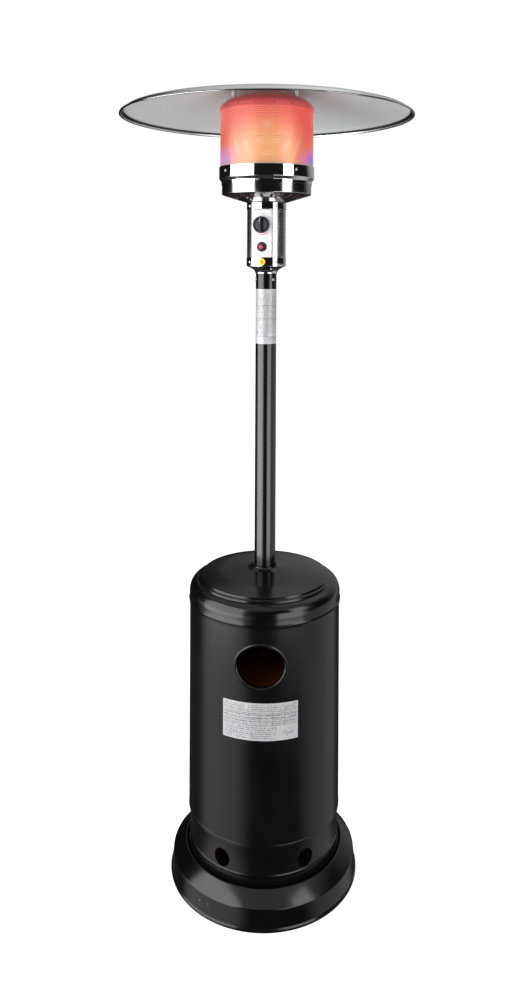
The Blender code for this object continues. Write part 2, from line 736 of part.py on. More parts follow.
def make_controls():
    """Everything that is worked from the panel, with local Z pointing out of the panel."""
    knob_seat = PANEL_FRONT + PUSH_TRAVEL + 0.0008
    knob_profile = [
        (0.0, 0.0100),
        (KNOB_RADIUS - 0.0030, 0.0100),
        (KNOB_RADIUS - 0.0010, 0.0085),
        (KNOB_RADIUS, 0.0060),
        (KNOB_RADIUS, 0.0),
        (0.0034, 0.0),
        (0.0034, 0.0060),
        (0.0, 0.0060),
    ]
    knob = turned("control_knob", knob_profile, BLACK_PLASTIC, MEDIUM_SEGMENTS)
    knob.matrix_world = facing(HEAD_TURN, knob_seat, KNOB_HEIGHT)
    grip_depth = KNOB_DEPTH - 0.0100
    grip_middle = facing(HEAD_TURN, knob_seat + 0.0100 + grip_depth / 2 - MERGE, KNOB_HEIGHT)
    grip_size = (0.0080, 0.0410, grip_depth)
    grip = box("grip_shape", grip_size, grip_middle, collection=cutters, bevel=0.0015)
    combine(knob, grip, "UNION")

    spindle_length = knob_seat + 0.0057 - 0.0400
    spindle_middle = 0.0400 + spindle_length / 2
    place = facing(HEAD_TURN, spindle_middle, KNOB_HEIGHT)
    cylinder("valve_spindle", 0.0030, spindle_length, place, BRASS, TINY_SEGMENTS)

    collar = turned("push_collar", tube_profile(0.0055, 0.0034, -0.0015, 0.0015), ZINC, SMALL_SEGMENTS)
    collar.matrix_world = facing(HEAD_TURN, 0.0440 + PUSH_TRAVEL / 2 - 0.0004, KNOB_HEIGHT)

    valve_size = (0.0340, 0.0460, 0.0440)
    valve_place = facing(HEAD_TURN, 0.0120, KNOB_HEIGHT)
    valve = box("gas_valve", valve_size, valve_place, BRASS)
    bore = facing(HEAD_TURN, 0.0340, KNOB_HEIGHT)
    cut_round(valve, "cut_valve_bore", 0.0036, 0.012, bore)

    bezel_profile = [
        (BEZEL_RADIUS - 0.0012, 0.0030),
        (BEZEL_RADIUS, 0.0018),
        (BEZEL_RADIUS, GAP),
        (0.0087, GAP),
        (0.0087, -0.0060),
        (0.0068, -0.0060),
        (0.0068, 0.0030),
    ]
    bezel = turned("igniter_bezel", bezel_profile, BLACK_PLASTIC, SMALL_SEGMENTS)
    bezel.matrix_world = facing(HEAD_TURN, PANEL_FRONT, IGNITER_HEIGHT)

    button_profile = [
        (0.0, BUTTON_REACH),
        (BUTTON_RADIUS - 0.0013, BUTTON_REACH - 0.0004),
        (BUTTON_RADIUS, BUTTON_REACH - 0.0016),
        (BUTTON_RADIUS, -0.0060),
        (0.0, -0.0060),
    ]
    button = turned("igniter_button", button_profile, RED_PLASTIC, SMALL_SEGMENTS)
    button.matrix_world = facing(HEAD_TURN, PANEL_FRONT, IGNITER_HEIGHT)

    igniter_length = 0.026
    igniter_front = PANEL_FRONT - 0.0060 - PUSH_TRAVEL - 0.0010
    place = facing(HEAD_TURN, igniter_front - igniter_length / 2, IGNITER_HEIGHT)
    cylinder("igniter_body", 0.0085, igniter_length, place, BLACK_PLASTIC)

    box("tilt_switch", (0.020, 0.030, 0.014), facing(HEAD_TURN + 180, 0.034, 1.690), BLACK_PLASTIC)


# ---------------------------------------------------------------- burner
def make_burner():
    pan_profile = [
        (PAN_RADIUS, PAN_TOP),
        (PAN_RADIUS, PAN_CORNER),
        (PAN_FLAT_RADIUS, PAN_BOTTOM),
        (0.0172, PAN_BOTTOM),
    ]
    pan = spun("burner_pan", pan_profile, CHROME, 0.0010)
    slope = (PAN_CORNER - PAN_BOTTOM) / (PAN_RADIUS - PAN_FLAT_RADIUS)
    slot_height = PAN_BOTTOM + (SLOT_CIRCLE - PAN_FLAT_RADIUS) * slope
    slot_size = (SLOT_WIDTH, SLOT_LENGTH, 0.020)
    for index in range(SLOT_COUNT):
        azimuth = 360 * (index + 0.5) / SLOT_COUNT
        place = Matrix.Translation(around(SLOT_CIRCLE, azimuth, slot_height))
        turn = Matrix.Rotation(radians(azimuth), 4, "Z")
        cutter = box(f"cut_slot_{index + 1}", slot_size, place @ turn, collection=cutters)
        combine(pan, cutter, "DIFFERENCE")

    ring_profile = [
        (RING_RADIUS, RING_TOP),
        (RING_RADIUS, 1.8930),
        (PAN_RADIUS + 0.0016, 1.8845),
        (PAN_RADIUS + 0.0014, 1.8760),
    ]
    spun("burner_ring", ring_profile, CHROME, 0.0010)

    turned("burner_tube", tube_profile(0.0164, 0.0150, 1.8000, 1.9400), ZINC, SMALL_SEGMENTS)
    jet_bottom = KNOB_HEIGHT + 0.0230 + GAP
    turned("gas_jet", rod_profile(0.0050, jet_bottom, 1.8120), BRASS, SMALL_SEGMENTS)

    drum_profile = [
        (0.0, 1.9580),
        (0.0550, 1.9550),
        (0.0550, 1.9340),
        (0.0180, 1.9320),
    ]
    spun("flame_drum", drum_profile, ZINC, SHEET, MEDIUM_SEGMENTS)

    floor = 1.8345
    pieces = (
        ("pilot_burner", 20, 0.0045, 1.9400),
        ("thermocouple", 40, 0.0025, 1.9460),
        ("spark_electrode", 4, 0.0020, 1.9440),
    )
    for name, azimuth, radius, top in pieces:
        rod = turned(name, rod_profile(radius, floor, top), ZINC, TINY_SEGMENTS)
        rod.location = around(0.0660, azimuth + HEAD_TURN, 0.0)


def make_emitter():
    screen = tube_profile(SCREEN_RADIUS, SCREEN_RADIUS - 0.0010, SCREEN_BOTTOM, SCREEN_TOP)
    turned("emitter_screen", screen, HOT_SCREEN)
    cap_profile = [
        (0.0, CAP_CENTRE),
        (0.0780, 2.1175),
        (STUD_CIRCLE, CAP_STUD_HEIGHT),
        (0.1140, 2.1075),
        (0.1250, 2.0985),
        (CAP_RADIUS, 2.0915),
        (CAP_RADIUS, CAP_BOTTOM),
    ]
    cap = spun("emitter_cap", cap_profile, HOT_SCREEN, 0.0010)
    for index, azimuth in enumerate(STUD_AZIMUTHS):
        place = Matrix.Translation(around(STUD_CIRCLE, azimuth, CAP_STUD_HEIGHT))
        cut_round(cap, f"cut_cap_stud_{index + 1}", STUD_HOLE_RADIUS, 0.03, place, TINY_SEGMENTS)


# ---------------------------------------------------------------- reflector
def reflector_height(radius):
    """Height of the reflector's upper face on its shallow cone."""
    share = (radius - CONE_INNER[0]) / (CONE_OUTER[0] - CONE_INNER[0])
    return CONE_INNER[1] + share * (CONE_OUTER[1] - CONE_INNER[1])


def make_reflector():
    profile = [
        (0.0, REFLECTOR_CENTRE),
        CONE_INNER,
        (0.2130, reflector_height(0.2130) + 0.0015),
        (0.3705, CONE_OUTER[1]),
        (0.3745, 2.0810),
        (0.3880, 2.0785),
        (0.4020, 2.0685),
        (0.4060, 2.0665),
        (REFLECTOR_RADIUS, REFLECTOR_LIP + 0.0010),
        (0.4045, REFLECTOR_LIP),
    ]
    reflector = spun("reflector", profile, BRUSHED, REFLECTOR_SHEET, 40)
    seat = reflector_height(STUD_CIRCLE)
    for index, azimuth in enumerate(STUD_AZIMUTHS):
        place = Matrix.Translation(around(STUD_CIRCLE, azimuth, seat))
        cutter_name = f"cut_reflector_stud_{index + 1}"
        cut_round(reflector, cutter_name, STUD_HOLE_RADIUS, 0.03, place, TINY_SEGMENTS)

        stud_top = seat + 0.0085
        stud_bottom = SPACER_BOTTOM - 0.0140
        spacer_top = seat - 0.0040
        stud_profile = [
            (0.0, stud_top),
            (STUD_RADIUS, stud_top),
            (STUD_RADIUS, spacer_top),
            (SPACER_RADIUS, spacer_top),
            (SPACER_RADIUS, SPACER_BOTTOM),
            (STUD_RADIUS, SPACER_BOTTOM),
            (STUD_RADIUS, stud_bottom),
            (0.0, stud_bottom),
        ]
        stud = turned(f"reflector_stud_{index + 1}", stud_profile, ZINC, TINY_SEGMENTS)
        stud.location = around(STUD_CIRCLE, azimuth, 0.0)
        nut_bottom = seat + 0.0022
        nut_profile = tube_profile(0.0070, 0.0039, nut_bottom, nut_bottom + 0.0055)
        nut = turned(f"stud_nut_{index + 1}", nut_profile, ZINC, 6)
        nut.location = around(STUD_CIRCLE, azimuth, 0.0)


make_base()
make_posts()
make_pole_bracket()
make_pole()
make_gas_bottle()
make_regulator_and_hose()
make_housing()
make_neck()
make_control_casing()
make_controls()
make_burner()
make_emitter()
make_reflector()
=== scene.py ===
"""Gas patio heater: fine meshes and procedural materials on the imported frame.

Units are metres and +Z is up. The centre line is x = y = 0, and azimuths are in degrees, measured
from the front (-Y) towards +X.
"""

from math import ceil, cos, degrees, pi, radians, sin, sqrt, tan

import bmesh
import bpy
from mathutils import Matrix, Vector


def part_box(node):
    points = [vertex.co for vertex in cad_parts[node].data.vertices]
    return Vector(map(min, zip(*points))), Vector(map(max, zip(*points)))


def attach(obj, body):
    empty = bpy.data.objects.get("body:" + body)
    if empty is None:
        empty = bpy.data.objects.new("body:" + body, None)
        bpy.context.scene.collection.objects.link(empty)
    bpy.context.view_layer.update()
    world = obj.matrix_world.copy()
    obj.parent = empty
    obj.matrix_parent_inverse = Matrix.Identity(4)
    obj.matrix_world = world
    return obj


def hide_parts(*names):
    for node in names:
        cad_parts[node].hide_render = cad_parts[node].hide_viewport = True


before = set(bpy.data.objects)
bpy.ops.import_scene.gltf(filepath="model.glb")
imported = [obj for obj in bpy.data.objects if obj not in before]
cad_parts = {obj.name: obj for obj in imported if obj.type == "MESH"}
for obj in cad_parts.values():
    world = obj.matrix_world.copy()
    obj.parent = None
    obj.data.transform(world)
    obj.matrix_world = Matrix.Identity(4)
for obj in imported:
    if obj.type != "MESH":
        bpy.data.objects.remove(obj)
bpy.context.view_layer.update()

scene = bpy.context.scene

# ---------------------------------------------------------------- sizes shared by several pieces
FINE = 144                # facets round the large turned pieces
MEDIUM = 72
SMALL = 32
SHEET = 0.0012            # pressed steel sheet
THIN_SHEET = 0.0010
HEAD_TURN = -13.5         # azimuth that the control panel faces
VENT_AZIMUTHS = (32, 90, 148, 212, 270, 328)
KIT_HOLE_AZIMUTHS = (-41.0, -34.7)
POST_AZIMUTHS = (60, 180, 300)
STUD_AZIMUTHS = (-66, 54, 174)
NECK_SCREW_AZIMUTHS = (43, 163, 283)
HAND_HOLE_AZIMUTH = -2.7
LABEL_AZIMUTH = -3.0
GAS_AZIMUTH = 120.0       # side where the regulator and the hose leave the bottle valve
OUTLET_HEIGHT = 0.607
HOSE_RADIUS = 0.0055
HOSE_LOOP = 0.0445
HOSE_BEND = 0.125
PANEL_FRONT = 0.0522
PANEL_BACK = 0.0477
PRINT_FACE = 0.05225      # where the panel's printed marks lie
PAN_FLAT_RADIUS = 0.0520
SLOT_CIRCLE = 0.1000
SLOT_COUNT = 24
STUD_CIRCLE = 0.0990
RULE_HALF_WIDTH = 0.00045  # of the lines printed on the labels
STUD_PROUD = 0.0085       # how far a stud stands above the reflector
SPACER_BOTTOM = 2.1172
REFLECTOR_CENTRE = 2.1460
CONE_LOW = 2.0835
IN_PLACE = Matrix.Identity(4)


def low(name):
    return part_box(name)[0].z


def high(name):
    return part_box(name)[1].z


def reach(name):
    """Outer radius of a node that is turned round the centre line."""
    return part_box(name)[1].x


def middle(name):
    lowest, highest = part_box(name)
    return (lowest + highest) / 2


def around(radius, azimuth, height):
    angle = radians(azimuth)
    return Vector((radius * sin(angle), -radius * cos(angle), height))


def facing(azimuth, distance, height):
    """Placement whose local Z points out along an azimuth, with local Y up."""
    outward = around(1.0, azimuth, 0.0)
    up = Vector((0.0, 0.0, 1.0))
    turn = Matrix((up.cross(outward), up, outward)).transposed().to_4x4()
    return Matrix.Translation(around(distance, azimuth, height)) @ turn


# ---------------------------------------------------------------- material building blocks
def node(tree, kind, inputs=None, **settings):
    """Adds a shader node. An input is a value or another node's output."""
    made = tree.nodes.new(kind)
    for key, value in settings.items():
        setattr(made, key, value)
    for key, value in (inputs or {}).items():
        if isinstance(value, bpy.types.NodeSocket):
            tree.links.new(value, made.inputs[key])
        else:
            made.inputs[key].default_value = value
    return made


def maths(tree, operation, first, second=0.0, clamp=False):
    made = node(tree, "ShaderNodeMath", {0: first, 1: second}, operation=operation, use_clamp=clamp)
    return made.outputs[0]


def times(tree, first, second):
    return maths(tree, "MULTIPLY", first, second)


def larger(tree, first, second):
    return maths(tree, "MAXIMUM", first, second)


def inside(tree, value, start, end):
    """1 where the value is in a range, and 0 elsewhere."""
    return times(tree, maths(tree, "GREATER_THAN", value, start), maths(tree, "LESS_THAN", value, end))


def coordinates(tree, vector):
    return node(tree, "ShaderNodeSeparateXYZ", {0: vector}).outputs


def from_axis(tree, place):
    """Distance from the centre line."""
    parts = coordinates(tree, place)
    across = maths(tree, "POWER", parts[0], 2.0)
    along = maths(tree, "POWER", parts[1], 2.0)
    return maths(tree, "SQRT", maths(tree, "ADD", across, along))


def aligned(tree, first, second):
    """Dot product of two directions."""
    made = node(tree, "ShaderNodeVectorMath", {0: first, 1: second}, operation="DOT_PRODUCT")
    return made.outputs["Value"]


def smooth_range(tree, value, start, end, low_value=0.0, high_value=1.0):
    inputs = {"Value": value, 1: start, 2: end, 3: low_value, 4: high_value}
    return node(tree, "ShaderNodeMapRange", inputs, interpolation_type="SMOOTHSTEP").outputs[0]


def linear_range(tree, value, start, end):
    return node(tree, "ShaderNodeMapRange", {"Value": value, 1: start, 2: end}, clamp=True).outputs[0]


def blend_colours(tree, share, first, second):
    made = node(tree, "ShaderNodeMix", data_type="RGBA")
    for index, value in ((0, share), (6, first), (7, second)):
        if isinstance(value, bpy.types.NodeSocket):
            tree.links.new(value, made.inputs[index])
        else:
            made.inputs[index].default_value = value if index == 0 else (*value, 1.0)
    return made.outputs[2]


def noise(tree, vector, scale, detail=3.0, roughness=0.5):
    inputs = {"Vector": vector, "Scale": scale, "Detail": detail, "Roughness": roughness}
    return node(tree, "ShaderNodeTexNoise", inputs).outputs[0]


def stretched(tree, vector, scale):
    return node(tree, "ShaderNodeMapping", {"Vector": vector, "Scale": scale}).outputs[0]


def bump(tree, height, strength, distance):
    inputs = {"Height": height, "Strength": strength, "Distance": distance}
    return node(tree, "ShaderNodeBump", inputs).outputs[0]


def start_material(name, roughness, metallic=0.0):
    """A new material: its tree, its shader and the piece's own coordinates."""
    material = bpy.data.materials.new(name)
    material.use_nodes = True
    tree = material.node_tree
    shader = tree.nodes["Principled BSDF"]
    shader.inputs["Roughness"].default_value = roughness
    shader.inputs["Metallic"].default_value = metallic
    place = node(tree, "ShaderNodeTexCoord").outputs["Object"]
    return material, tree, shader, place


def drive(tree, shader, **sources):
    for key, output in sources.items():
        tree.links.new(output, shader.inputs[key.replace("_", " ")])


def paint(name, colour, dusty, roughness, peel=0.05, spread=0.05, specular=0.5):
    """Sprayed or powder-coated paint: orange-peel skin, uneven gloss and a trace of dust."""
    material, tree, shader, place = start_material(name, roughness)
    shader.inputs["Specular IOR Level"].default_value = specular
    broad = noise(tree, place, 7.0, 4.0, 0.6)
    specks = smooth_range(tree, noise(tree, place, 420.0, 2.0), 0.62, 0.80)
    mottled = blend_colours(tree, smooth_range(tree, broad, 0.35, 0.75), colour, dusty)
    lighter = tuple(min(1.0, 2.0 * part + 0.004) for part in colour)
    skin = noise(tree, place, 650.0, 2.0)
    drive(
        tree, shader,
        Base_Color=blend_colours(tree, times(tree, specks, 0.35), mottled, lighter),
        Roughness=smooth_range(tree, broad, 0.25, 0.80, roughness - spread / 2, roughness + spread),
        Normal=bump(tree, skin, peel, 0.0004),
    )
    return material


def polished(name, colour, roughness):
    """Mirror-bright steel with faint smears and hairlines."""
    material, tree, shader, place = start_material(name, roughness, 1.0)
    shader.inputs["Base Color"].default_value = (*colour, 1.0)
    smears = noise(tree, place, 16.0, 4.0, 0.6)
    hairlines = noise(tree, stretched(tree, place, (60.0, 60.0, 1800.0)), 1.0, 2.0)
    drive(
        tree, shader,
        Base_Color=blend_colours(tree, smears, colour, tuple(0.88 * part for part in colour)),
        Roughness=smooth_range(tree, smears, 0.35, 0.75, roughness, roughness + 0.06),
        Normal=bump(tree, hairlines, 0.02, 0.0001),
    )
    return material


def spun_metal(name, colour, darker, roughness, metallic):
    """Aluminium sheet spun on a former: matt under the cone, bright at the rim and on top."""
    material, tree, shader, place = start_material(name, roughness, metallic)
    radius = from_axis(tree, place)
    clouds = noise(tree, place, 11.0, 4.0, 0.6)
    ring_place = node(tree, "ShaderNodeCombineXYZ", {0: radius, 1: times(tree, clouds, 0.004)})
    rings = noise(tree, ring_place.outputs[0], 900.0, 3.0)
    normal = node(tree, "ShaderNodeNewGeometry").outputs["Normal"]
    upward = coordinates(tree, normal)[2]
    rim = smooth_range(tree, radius, 0.3900, 0.3960)
    top_face = smooth_range(tree, upward, 0.2, 0.5, 0.0, 0.55)
    bright = larger(tree, rim, top_face)
    tone = blend_colours(tree, clouds, colour, darker)
    drive(
        tree, shader,
        Base_Color=blend_colours(tree, bright, tone, (0.80, 0.80, 0.81)),
        Roughness=smooth_range(tree, bright, 0.0, 1.0, roughness, 0.14),
        Metallic=smooth_range(tree, bright, 0.0, 1.0, metallic, 1.0),
        Normal=bump(tree, rings, 0.05, 0.0002),
    )
    return material


def plated(name, colour, darker, roughness):
    """Zinc plating or bare cast metal: crystal patches under a fine grain."""
    material, tree, shader, place = start_material(name, roughness, 1.0)
    cells = node(tree, "ShaderNodeTexVoronoi", {"Vector": place, "Scale": 160.0}).outputs["Color"]
    grey = node(tree, "ShaderNodeRGBToBW", {0: cells}).outputs[0]
    grain = noise(tree, place, 900.0, 2.0)
    stain = smooth_range(tree, noise(tree, place, 22.0, 4.0), 0.50, 0.75)
    share = maths(tree, "ADD", times(tree, grey, 0.45), times(tree, stain, 0.5), True)
    drive(
        tree, shader,
        Base_Color=blend_colours(tree, share, colour, darker),
        Roughness=smooth_range(tree, grey, 0.1, 0.9, roughness - 0.06, roughness + 0.12),
        Normal=bump(tree, grain, 0.10, 0.0002),
    )
    return material


def moulded(name, colour, roughness, grain=350.0, depth=0.10):
    """Moulded plastic or rubber with a fine spark-eroded grain."""
    material, tree, shader, place = start_material(name, roughness)
    skin = noise(tree, place, grain, 3.0)
    rub = noise(tree, place, 28.0, 3.0)
    worn = tuple(min(1.0, 1.5 * part + 0.008) for part in colour)
    drive(
        tree, shader,
        Base_Color=blend_colours(tree, smooth_range(tree, rub, 0.55, 0.80), colour, worn),
        Roughness=smooth_range(tree, rub, 0.30, 0.75, roughness, roughness + 0.12),
        Normal=bump(tree, skin, depth, 0.0003),
    )
    return material


def print_rows(tree, across, up, pitch, grain, left, right, bottom, top):
    """Mask of unreadable grey rows, like small print seen from afar, inside a rectangle."""
    row = maths(tree, "DIVIDE", up, pitch)
    in_row = maths(tree, "LESS_THAN", maths(tree, "FRACT", row), 0.52)
    line = maths(tree, "FLOOR", row)
    words = node(tree, "ShaderNodeCombineXYZ", {0: times(tree, across, grain), 1: times(tree, line, 7.31)})
    inked = maths(tree, "GREATER_THAN", noise(tree, words.outputs[0], 1.0, 2.0, 0.7), 0.47)
    block = times(tree, inside(tree, across, left, right), inside(tree, up, bottom, top))
    return times(tree, times(tree, in_row, inked), block)


def band_mask(tree, value, centre, half_width):
    away = maths(tree, "ABSOLUTE", maths(tree, "SUBTRACT", value, centre))
    return maths(tree, "LESS_THAN", away, half_width)


def printed_foil(name, width, height, pitch, blocks, rules, uprights):
    """Silvery label. Blocks of grey rows, ruled lines across, and uprights (place, bottom, top)."""
    material, tree, shader, place = start_material(name, 0.34, 0.15)
    flat = node(tree, "ShaderNodeUVMap", uv_map="label")
    across, up = coordinates(tree, flat.outputs[0])[:2]
    ink = 0.0
    for left, right, bottom, top, grain in blocks:
        sides = (left * width, right * width)
        ends = (bottom * height, top * height)
        ink = larger(tree, ink, print_rows(tree, across, up, pitch, grain, *sides, *ends))
    lines = 0.0
    for level in rules:
        lines = larger(tree, lines, band_mask(tree, up, level * height, RULE_HALF_WIDTH))
    for column, bottom, top in uprights:
        stroke = band_mask(tree, across, column * width, RULE_HALF_WIDTH)
        lines = larger(tree, lines, times(tree, stroke, inside(tree, up, bottom * height, top * height)))
    sheen = blend_colours(tree, noise(tree, place, 45.0, 3.0), (0.54, 0.55, 0.56), (0.47, 0.48, 0.50))
    ruled = blend_colours(tree, times(tree, lines, 0.85), sheen, (0.08, 0.08, 0.09))
    creases = noise(tree, place, 60.0, 4.0)
    drive(
        tree, shader,
        Base_Color=blend_colours(tree, times(tree, ink, 0.60), ruled, (0.05, 0.05, 0.06)),
        Roughness=smooth_range(tree, creases, 0.3, 0.7, 0.28, 0.42),
        Normal=bump(tree, creases, 0.06, 0.0006),
    )
    return material


def hot_metal(name, bottom, top, radius, strength):
    """Perforated steel in the flame: red at the top and sides, orange low in the middle, with the
    blue and lilac of the gas flame near the burner."""
    material, tree, shader, place = start_material(name, 0.34, 0.9)
    shader.inputs["Base Color"].default_value = (0.30, 0.11, 0.10, 1.0)
    parts = coordinates(tree, place)
    side = maths(tree, "DIVIDE", parts[0], radius)
    height = linear_range(tree, parts[2], bottom, top)
    flicker = noise(tree, stretched(tree, place, (9.0, 9.0, 4.0)), 1.0, 3.0)
    wobble = times(tree, maths(tree, "SUBTRACT", flicker, 0.5), 0.30)
    away_side = maths(tree, "DIVIDE", maths(tree, "ADD", side, wobble), 0.85)
    away_height = maths(tree, "DIVIDE", maths(tree, "SUBTRACT", height, 0.20), 0.62)
    squares = [maths(tree, "POWER", away, 2.0) for away in (away_side, away_height)]
    distance = maths(tree, "SQRT", maths(tree, "ADD", *squares))
    warm = smooth_range(tree, distance, 0.25, 1.35, 1.0, 0.0)
    redder = smooth_range(tree, side, -0.6, 0.9)
    coral = blend_colours(tree, redder, (0.78, 0.125, 0.105), (0.74, 0.070, 0.055))
    low_zone = smooth_range(tree, height, 0.05, 0.42, 1.0, 0.0)
    lilac = times(tree, low_zone, smooth_range(tree, side, -0.45, -0.90))
    corner = smooth_range(tree, height, 0.02, 0.36, 1.0, 0.0)
    pink = times(tree, corner, smooth_range(tree, side, 0.50, 0.85))
    blue = times(tree, corner, smooth_range(tree, side, 0.78, 0.96))
    fade = smooth_range(tree, height, 0.0, 0.10, 0.55, 0.0)
    glow = coral
    for share, colour in (
        (warm, (0.96, 0.46, 0.19)),
        (times(tree, lilac, 0.95), (0.62, 0.36, 0.72)),
        (times(tree, pink, 0.75), (0.72, 0.22, 0.55)),
        (blue, (0.10, 0.14, 0.70)),
        (fade, (0.42, 0.33, 0.22)),
    ):
        glow = blend_colours(tree, share, glow, colour)
    outward = node(tree, "ShaderNodeVectorMath", {0: place, 1: (1.0, 1.0, 0.0)}, operation="MULTIPLY")
    unit = node(tree, "ShaderNodeVectorMath", {0: outward.outputs["Vector"]}, operation="NORMALIZE")
    normal = node(tree, "ShaderNodeNewGeometry").outputs["Normal"]
    faced = aligned(tree, unit.outputs["Vector"], normal)
    outside = smooth_range(tree, faced, -0.2, 0.6, 0.42 * strength, strength)
    grain = bump(tree, noise(tree, place, 500.0, 2.0), 0.1, 0.0002)
    drive(tree, shader, Emission_Color=glow, Emission_Strength=outside, Normal=grain)
    return material


def hot_cap_metal(name):
    """The emitter's cap: dark red heat on tinted steel, brighter at its skirt."""
    material, tree, shader, place = start_material(name, 0.26, 0.9)
    shader.inputs["Base Color"].default_value = (0.30, 0.06, 0.06, 1.0)
    height = coordinates(tree, place)[2]
    clouds = noise(tree, place, 14.0, 3.0)
    cooler = smooth_range(tree, height, 2.082, 2.106)
    heat = blend_colours(tree, cooler, (0.50, 0.07, 0.065), (0.13, 0.018, 0.020))
    shader.inputs["Emission Strength"].default_value = 0.75
    drive(
        tree, shader,
        Emission_Color=blend_colours(tree, times(tree, clouds, 0.25), heat, (0.30, 0.05, 0.05)),
        Roughness=smooth_range(tree, clouds, 0.3, 0.7, 0.22, 0.34),
    )
    return material


# ---------------------------------------------------------------- materials
BLACK = (0.0022, 0.0022, 0.0024)
BLACK_DUST = (0.0038, 0.0038, 0.0040)
MATERIALS = {}


def add_material(slot, make, name, *looks):
    MATERIALS[name] = make(name, *looks)


# The slot, the kind of finish, the name and the look. The one without a slot is for hidden nodes only.
for row in (
    ("black_paint", paint, "housing_paint", BLACK, BLACK_DUST, 0.23, 0.05, 0.03, 0.45),
    ("black_paint", paint, "pressing_paint", BLACK, BLACK_DUST, 0.17, 0.03, 0.04),
    ("black_paint", paint, "pole_paint", BLACK, BLACK_DUST, 0.16, 0.02, 0.03, 0.8),
    ("black_paint", paint, "trim_paint", BLACK, BLACK_DUST, 0.24, 0.03, 0.04),
    ("panel_paint", paint, "panel_white", (0.80, 0.80, 0.82), (0.74, 0.74, 0.75), 0.32, 0.04),
    ("orange_paint", paint, "bottle_paint", (0.22, 0.060, 0.012), (0.13, 0.036, 0.009), 0.38, 0.08, 0.12),
    ("polished_steel", polished, "polished_steel", (0.80, 0.80, 0.81), 0.035),
    ("polished_steel", polished, "satin_steel", (0.74, 0.74, 0.76), 0.20),
    ("polished_steel", polished, "pan_steel", (0.42, 0.42, 0.43), 0.12),
    # The knob's bluish grey is a painted reflection of the studio on its dished face.
    ("black_plastic", moulded, "knob_face", (0.040, 0.043, 0.065), 0.34),
    ("zinc", plated, "hot_rivet", (0.22, 0.06, 0.05), (0.12, 0.03, 0.03), 0.34),
    ("brushed_aluminium", spun_metal, "reflector_face", (0.72, 0.77, 0.77), (0.65, 0.70, 0.70), 0.45, 0.25),
    ("zinc", plated, "zinc", (0.62, 0.63, 0.65), (0.42, 0.43, 0.45), 0.32),
    (None, plated, "bare_steel", (0.40, 0.39, 0.38), (0.26, 0.24, 0.23), 0.42),
    ("brass", plated, "brass", (0.74, 0.54, 0.24), (0.52, 0.36, 0.16), 0.28),
    ("black_plastic", moulded, "black_plastic", (0.012, 0.012, 0.014), 0.30),
    ("red_plastic", moulded, "red_plastic", (0.46, 0.055, 0.10), 0.24, 300.0, 0.04),
    ("hose_rubber", moulded, "hose_rubber", (0.016, 0.016, 0.016), 0.55, 500.0, 0.18),
    ("sticker_yellow", moulded, "sticker_vinyl", (0.88, 0.60, 0.03), 0.32, 200.0, 0.03),
    ("sticker_yellow", moulded, "sticker_ink", (0.42, 0.20, 0.02), 0.36, 200.0, 0.03),
    ("panel_paint", moulded, "red_ink", (0.70, 0.04, 0.06), 0.36, 200.0, 0.03),
    ("panel_paint", moulded, "grey_ink", (0.36, 0.37, 0.42), 0.36, 200.0, 0.03),
):
    add_material(*row)


# ---------------------------------------------------------------- geometry building blocks
def rounded(points):
    """Replaces each point that has a third number by an arc of that radius."""
    result = [points[0][:2]]
    for before, point, after in zip(points, points[1:], points[2:]):
        if len(point) < 3:
            result.append(point)
            continue
        corner = Vector(point[:2])
        back = Vector(before[:2]) - corner
        ahead = Vector(after[:2]) - corner
        opening = back.angle(ahead)
        room = min(back.length, ahead.length) * 0.49
        setback = min(point[2] / tan(opening / 2), room)
        start = corner + back.normalized() * setback
        end = corner + ahead.normalized() * setback
        steps = max(2, ceil((pi - opening) / radians(15)))
        for step in range(steps + 1):
            share = step / steps
            curve = (1 - share) ** 2 * start + 2 * share * (1 - share) * corner + share ** 2 * end
            result.append(tuple(curve))
    result.append(points[-1][:2])
    return result


def oval(centre_x, centre_z, half_width, half_height, angles):
    """Points of an ellipse in a section, at angles in degrees."""
    points = []
    for angle in angles:
        turn = radians(angle)
        points.append((centre_x + half_width * cos(turn), centre_z + half_height * sin(turn)))
    return points


def sheet_profile(points, thickness):
    """Closed section of a sheet whose face follows the points; the metal lies on their right."""
    face = [Vector(point) for point in rounded(points)]
    back = []
    for index, point in enumerate(face):
        before = face[max(index - 1, 0)]
        after = face[min(index + 1, len(face) - 1)]
        first = (point - before) if index else (after - point)
        second = (after - point) if index < len(face) - 1 else first
        normals = [Vector((way.y, -way.x)).normalized() for way in (first, second)]
        joined = (normals[0] + normals[1]).normalized()
        back.append(point + joined * thickness / max(0.5, joined.dot(normals[0])))
    return [tuple(point) for point in face] + [tuple(point) for point in reversed(back)]


def turned_mesh(profile, segments=FINE, closed=True):
    """A section turned round Z."""
    shape = bmesh.new()
    rings = []
    for radius, height in profile:
        count = 1 if radius < 1e-6 else segments
        ring = []
        for step in range(count):
            ring.append(shape.verts.new(around(radius, 360 * step / segments, height)))
        rings.append(ring)
    pairs = list(zip(rings, rings[1:]))
    if closed and (len(rings[0]) > 1 or len(rings[-1]) > 1):
        pairs.append((rings[-1], rings[0]))
    for upper, lower in pairs:
        for step in range(segments):
            ahead = (step + 1) % segments
            corners = []
            for ring, place in ((upper, step), (lower, step), (lower, ahead), (upper, ahead)):
                corner = ring[place % len(ring)]
                if corner not in corners:
                    corners.append(corner)
            if len(corners) > 2:
                shape.faces.new(corners)
    return finished_mesh(shape)


def sheet_mesh(profile, thickness=SHEET, segments=FINE):
    """A sheet whose section follows a profile, turned round Z."""
    return turned_mesh(sheet_profile(profile, thickness), segments)


def lathed(points, segments=MEDIUM):
    """A solid section with rounded corners, turned round Z."""
    return turned_mesh(rounded(points), segments)


def released(shape):
    """The mesh of a finished bmesh, which is freed."""
    mesh = bpy.data.meshes.new("piece")
    shape.to_mesh(mesh)
    shape.free()
    return mesh


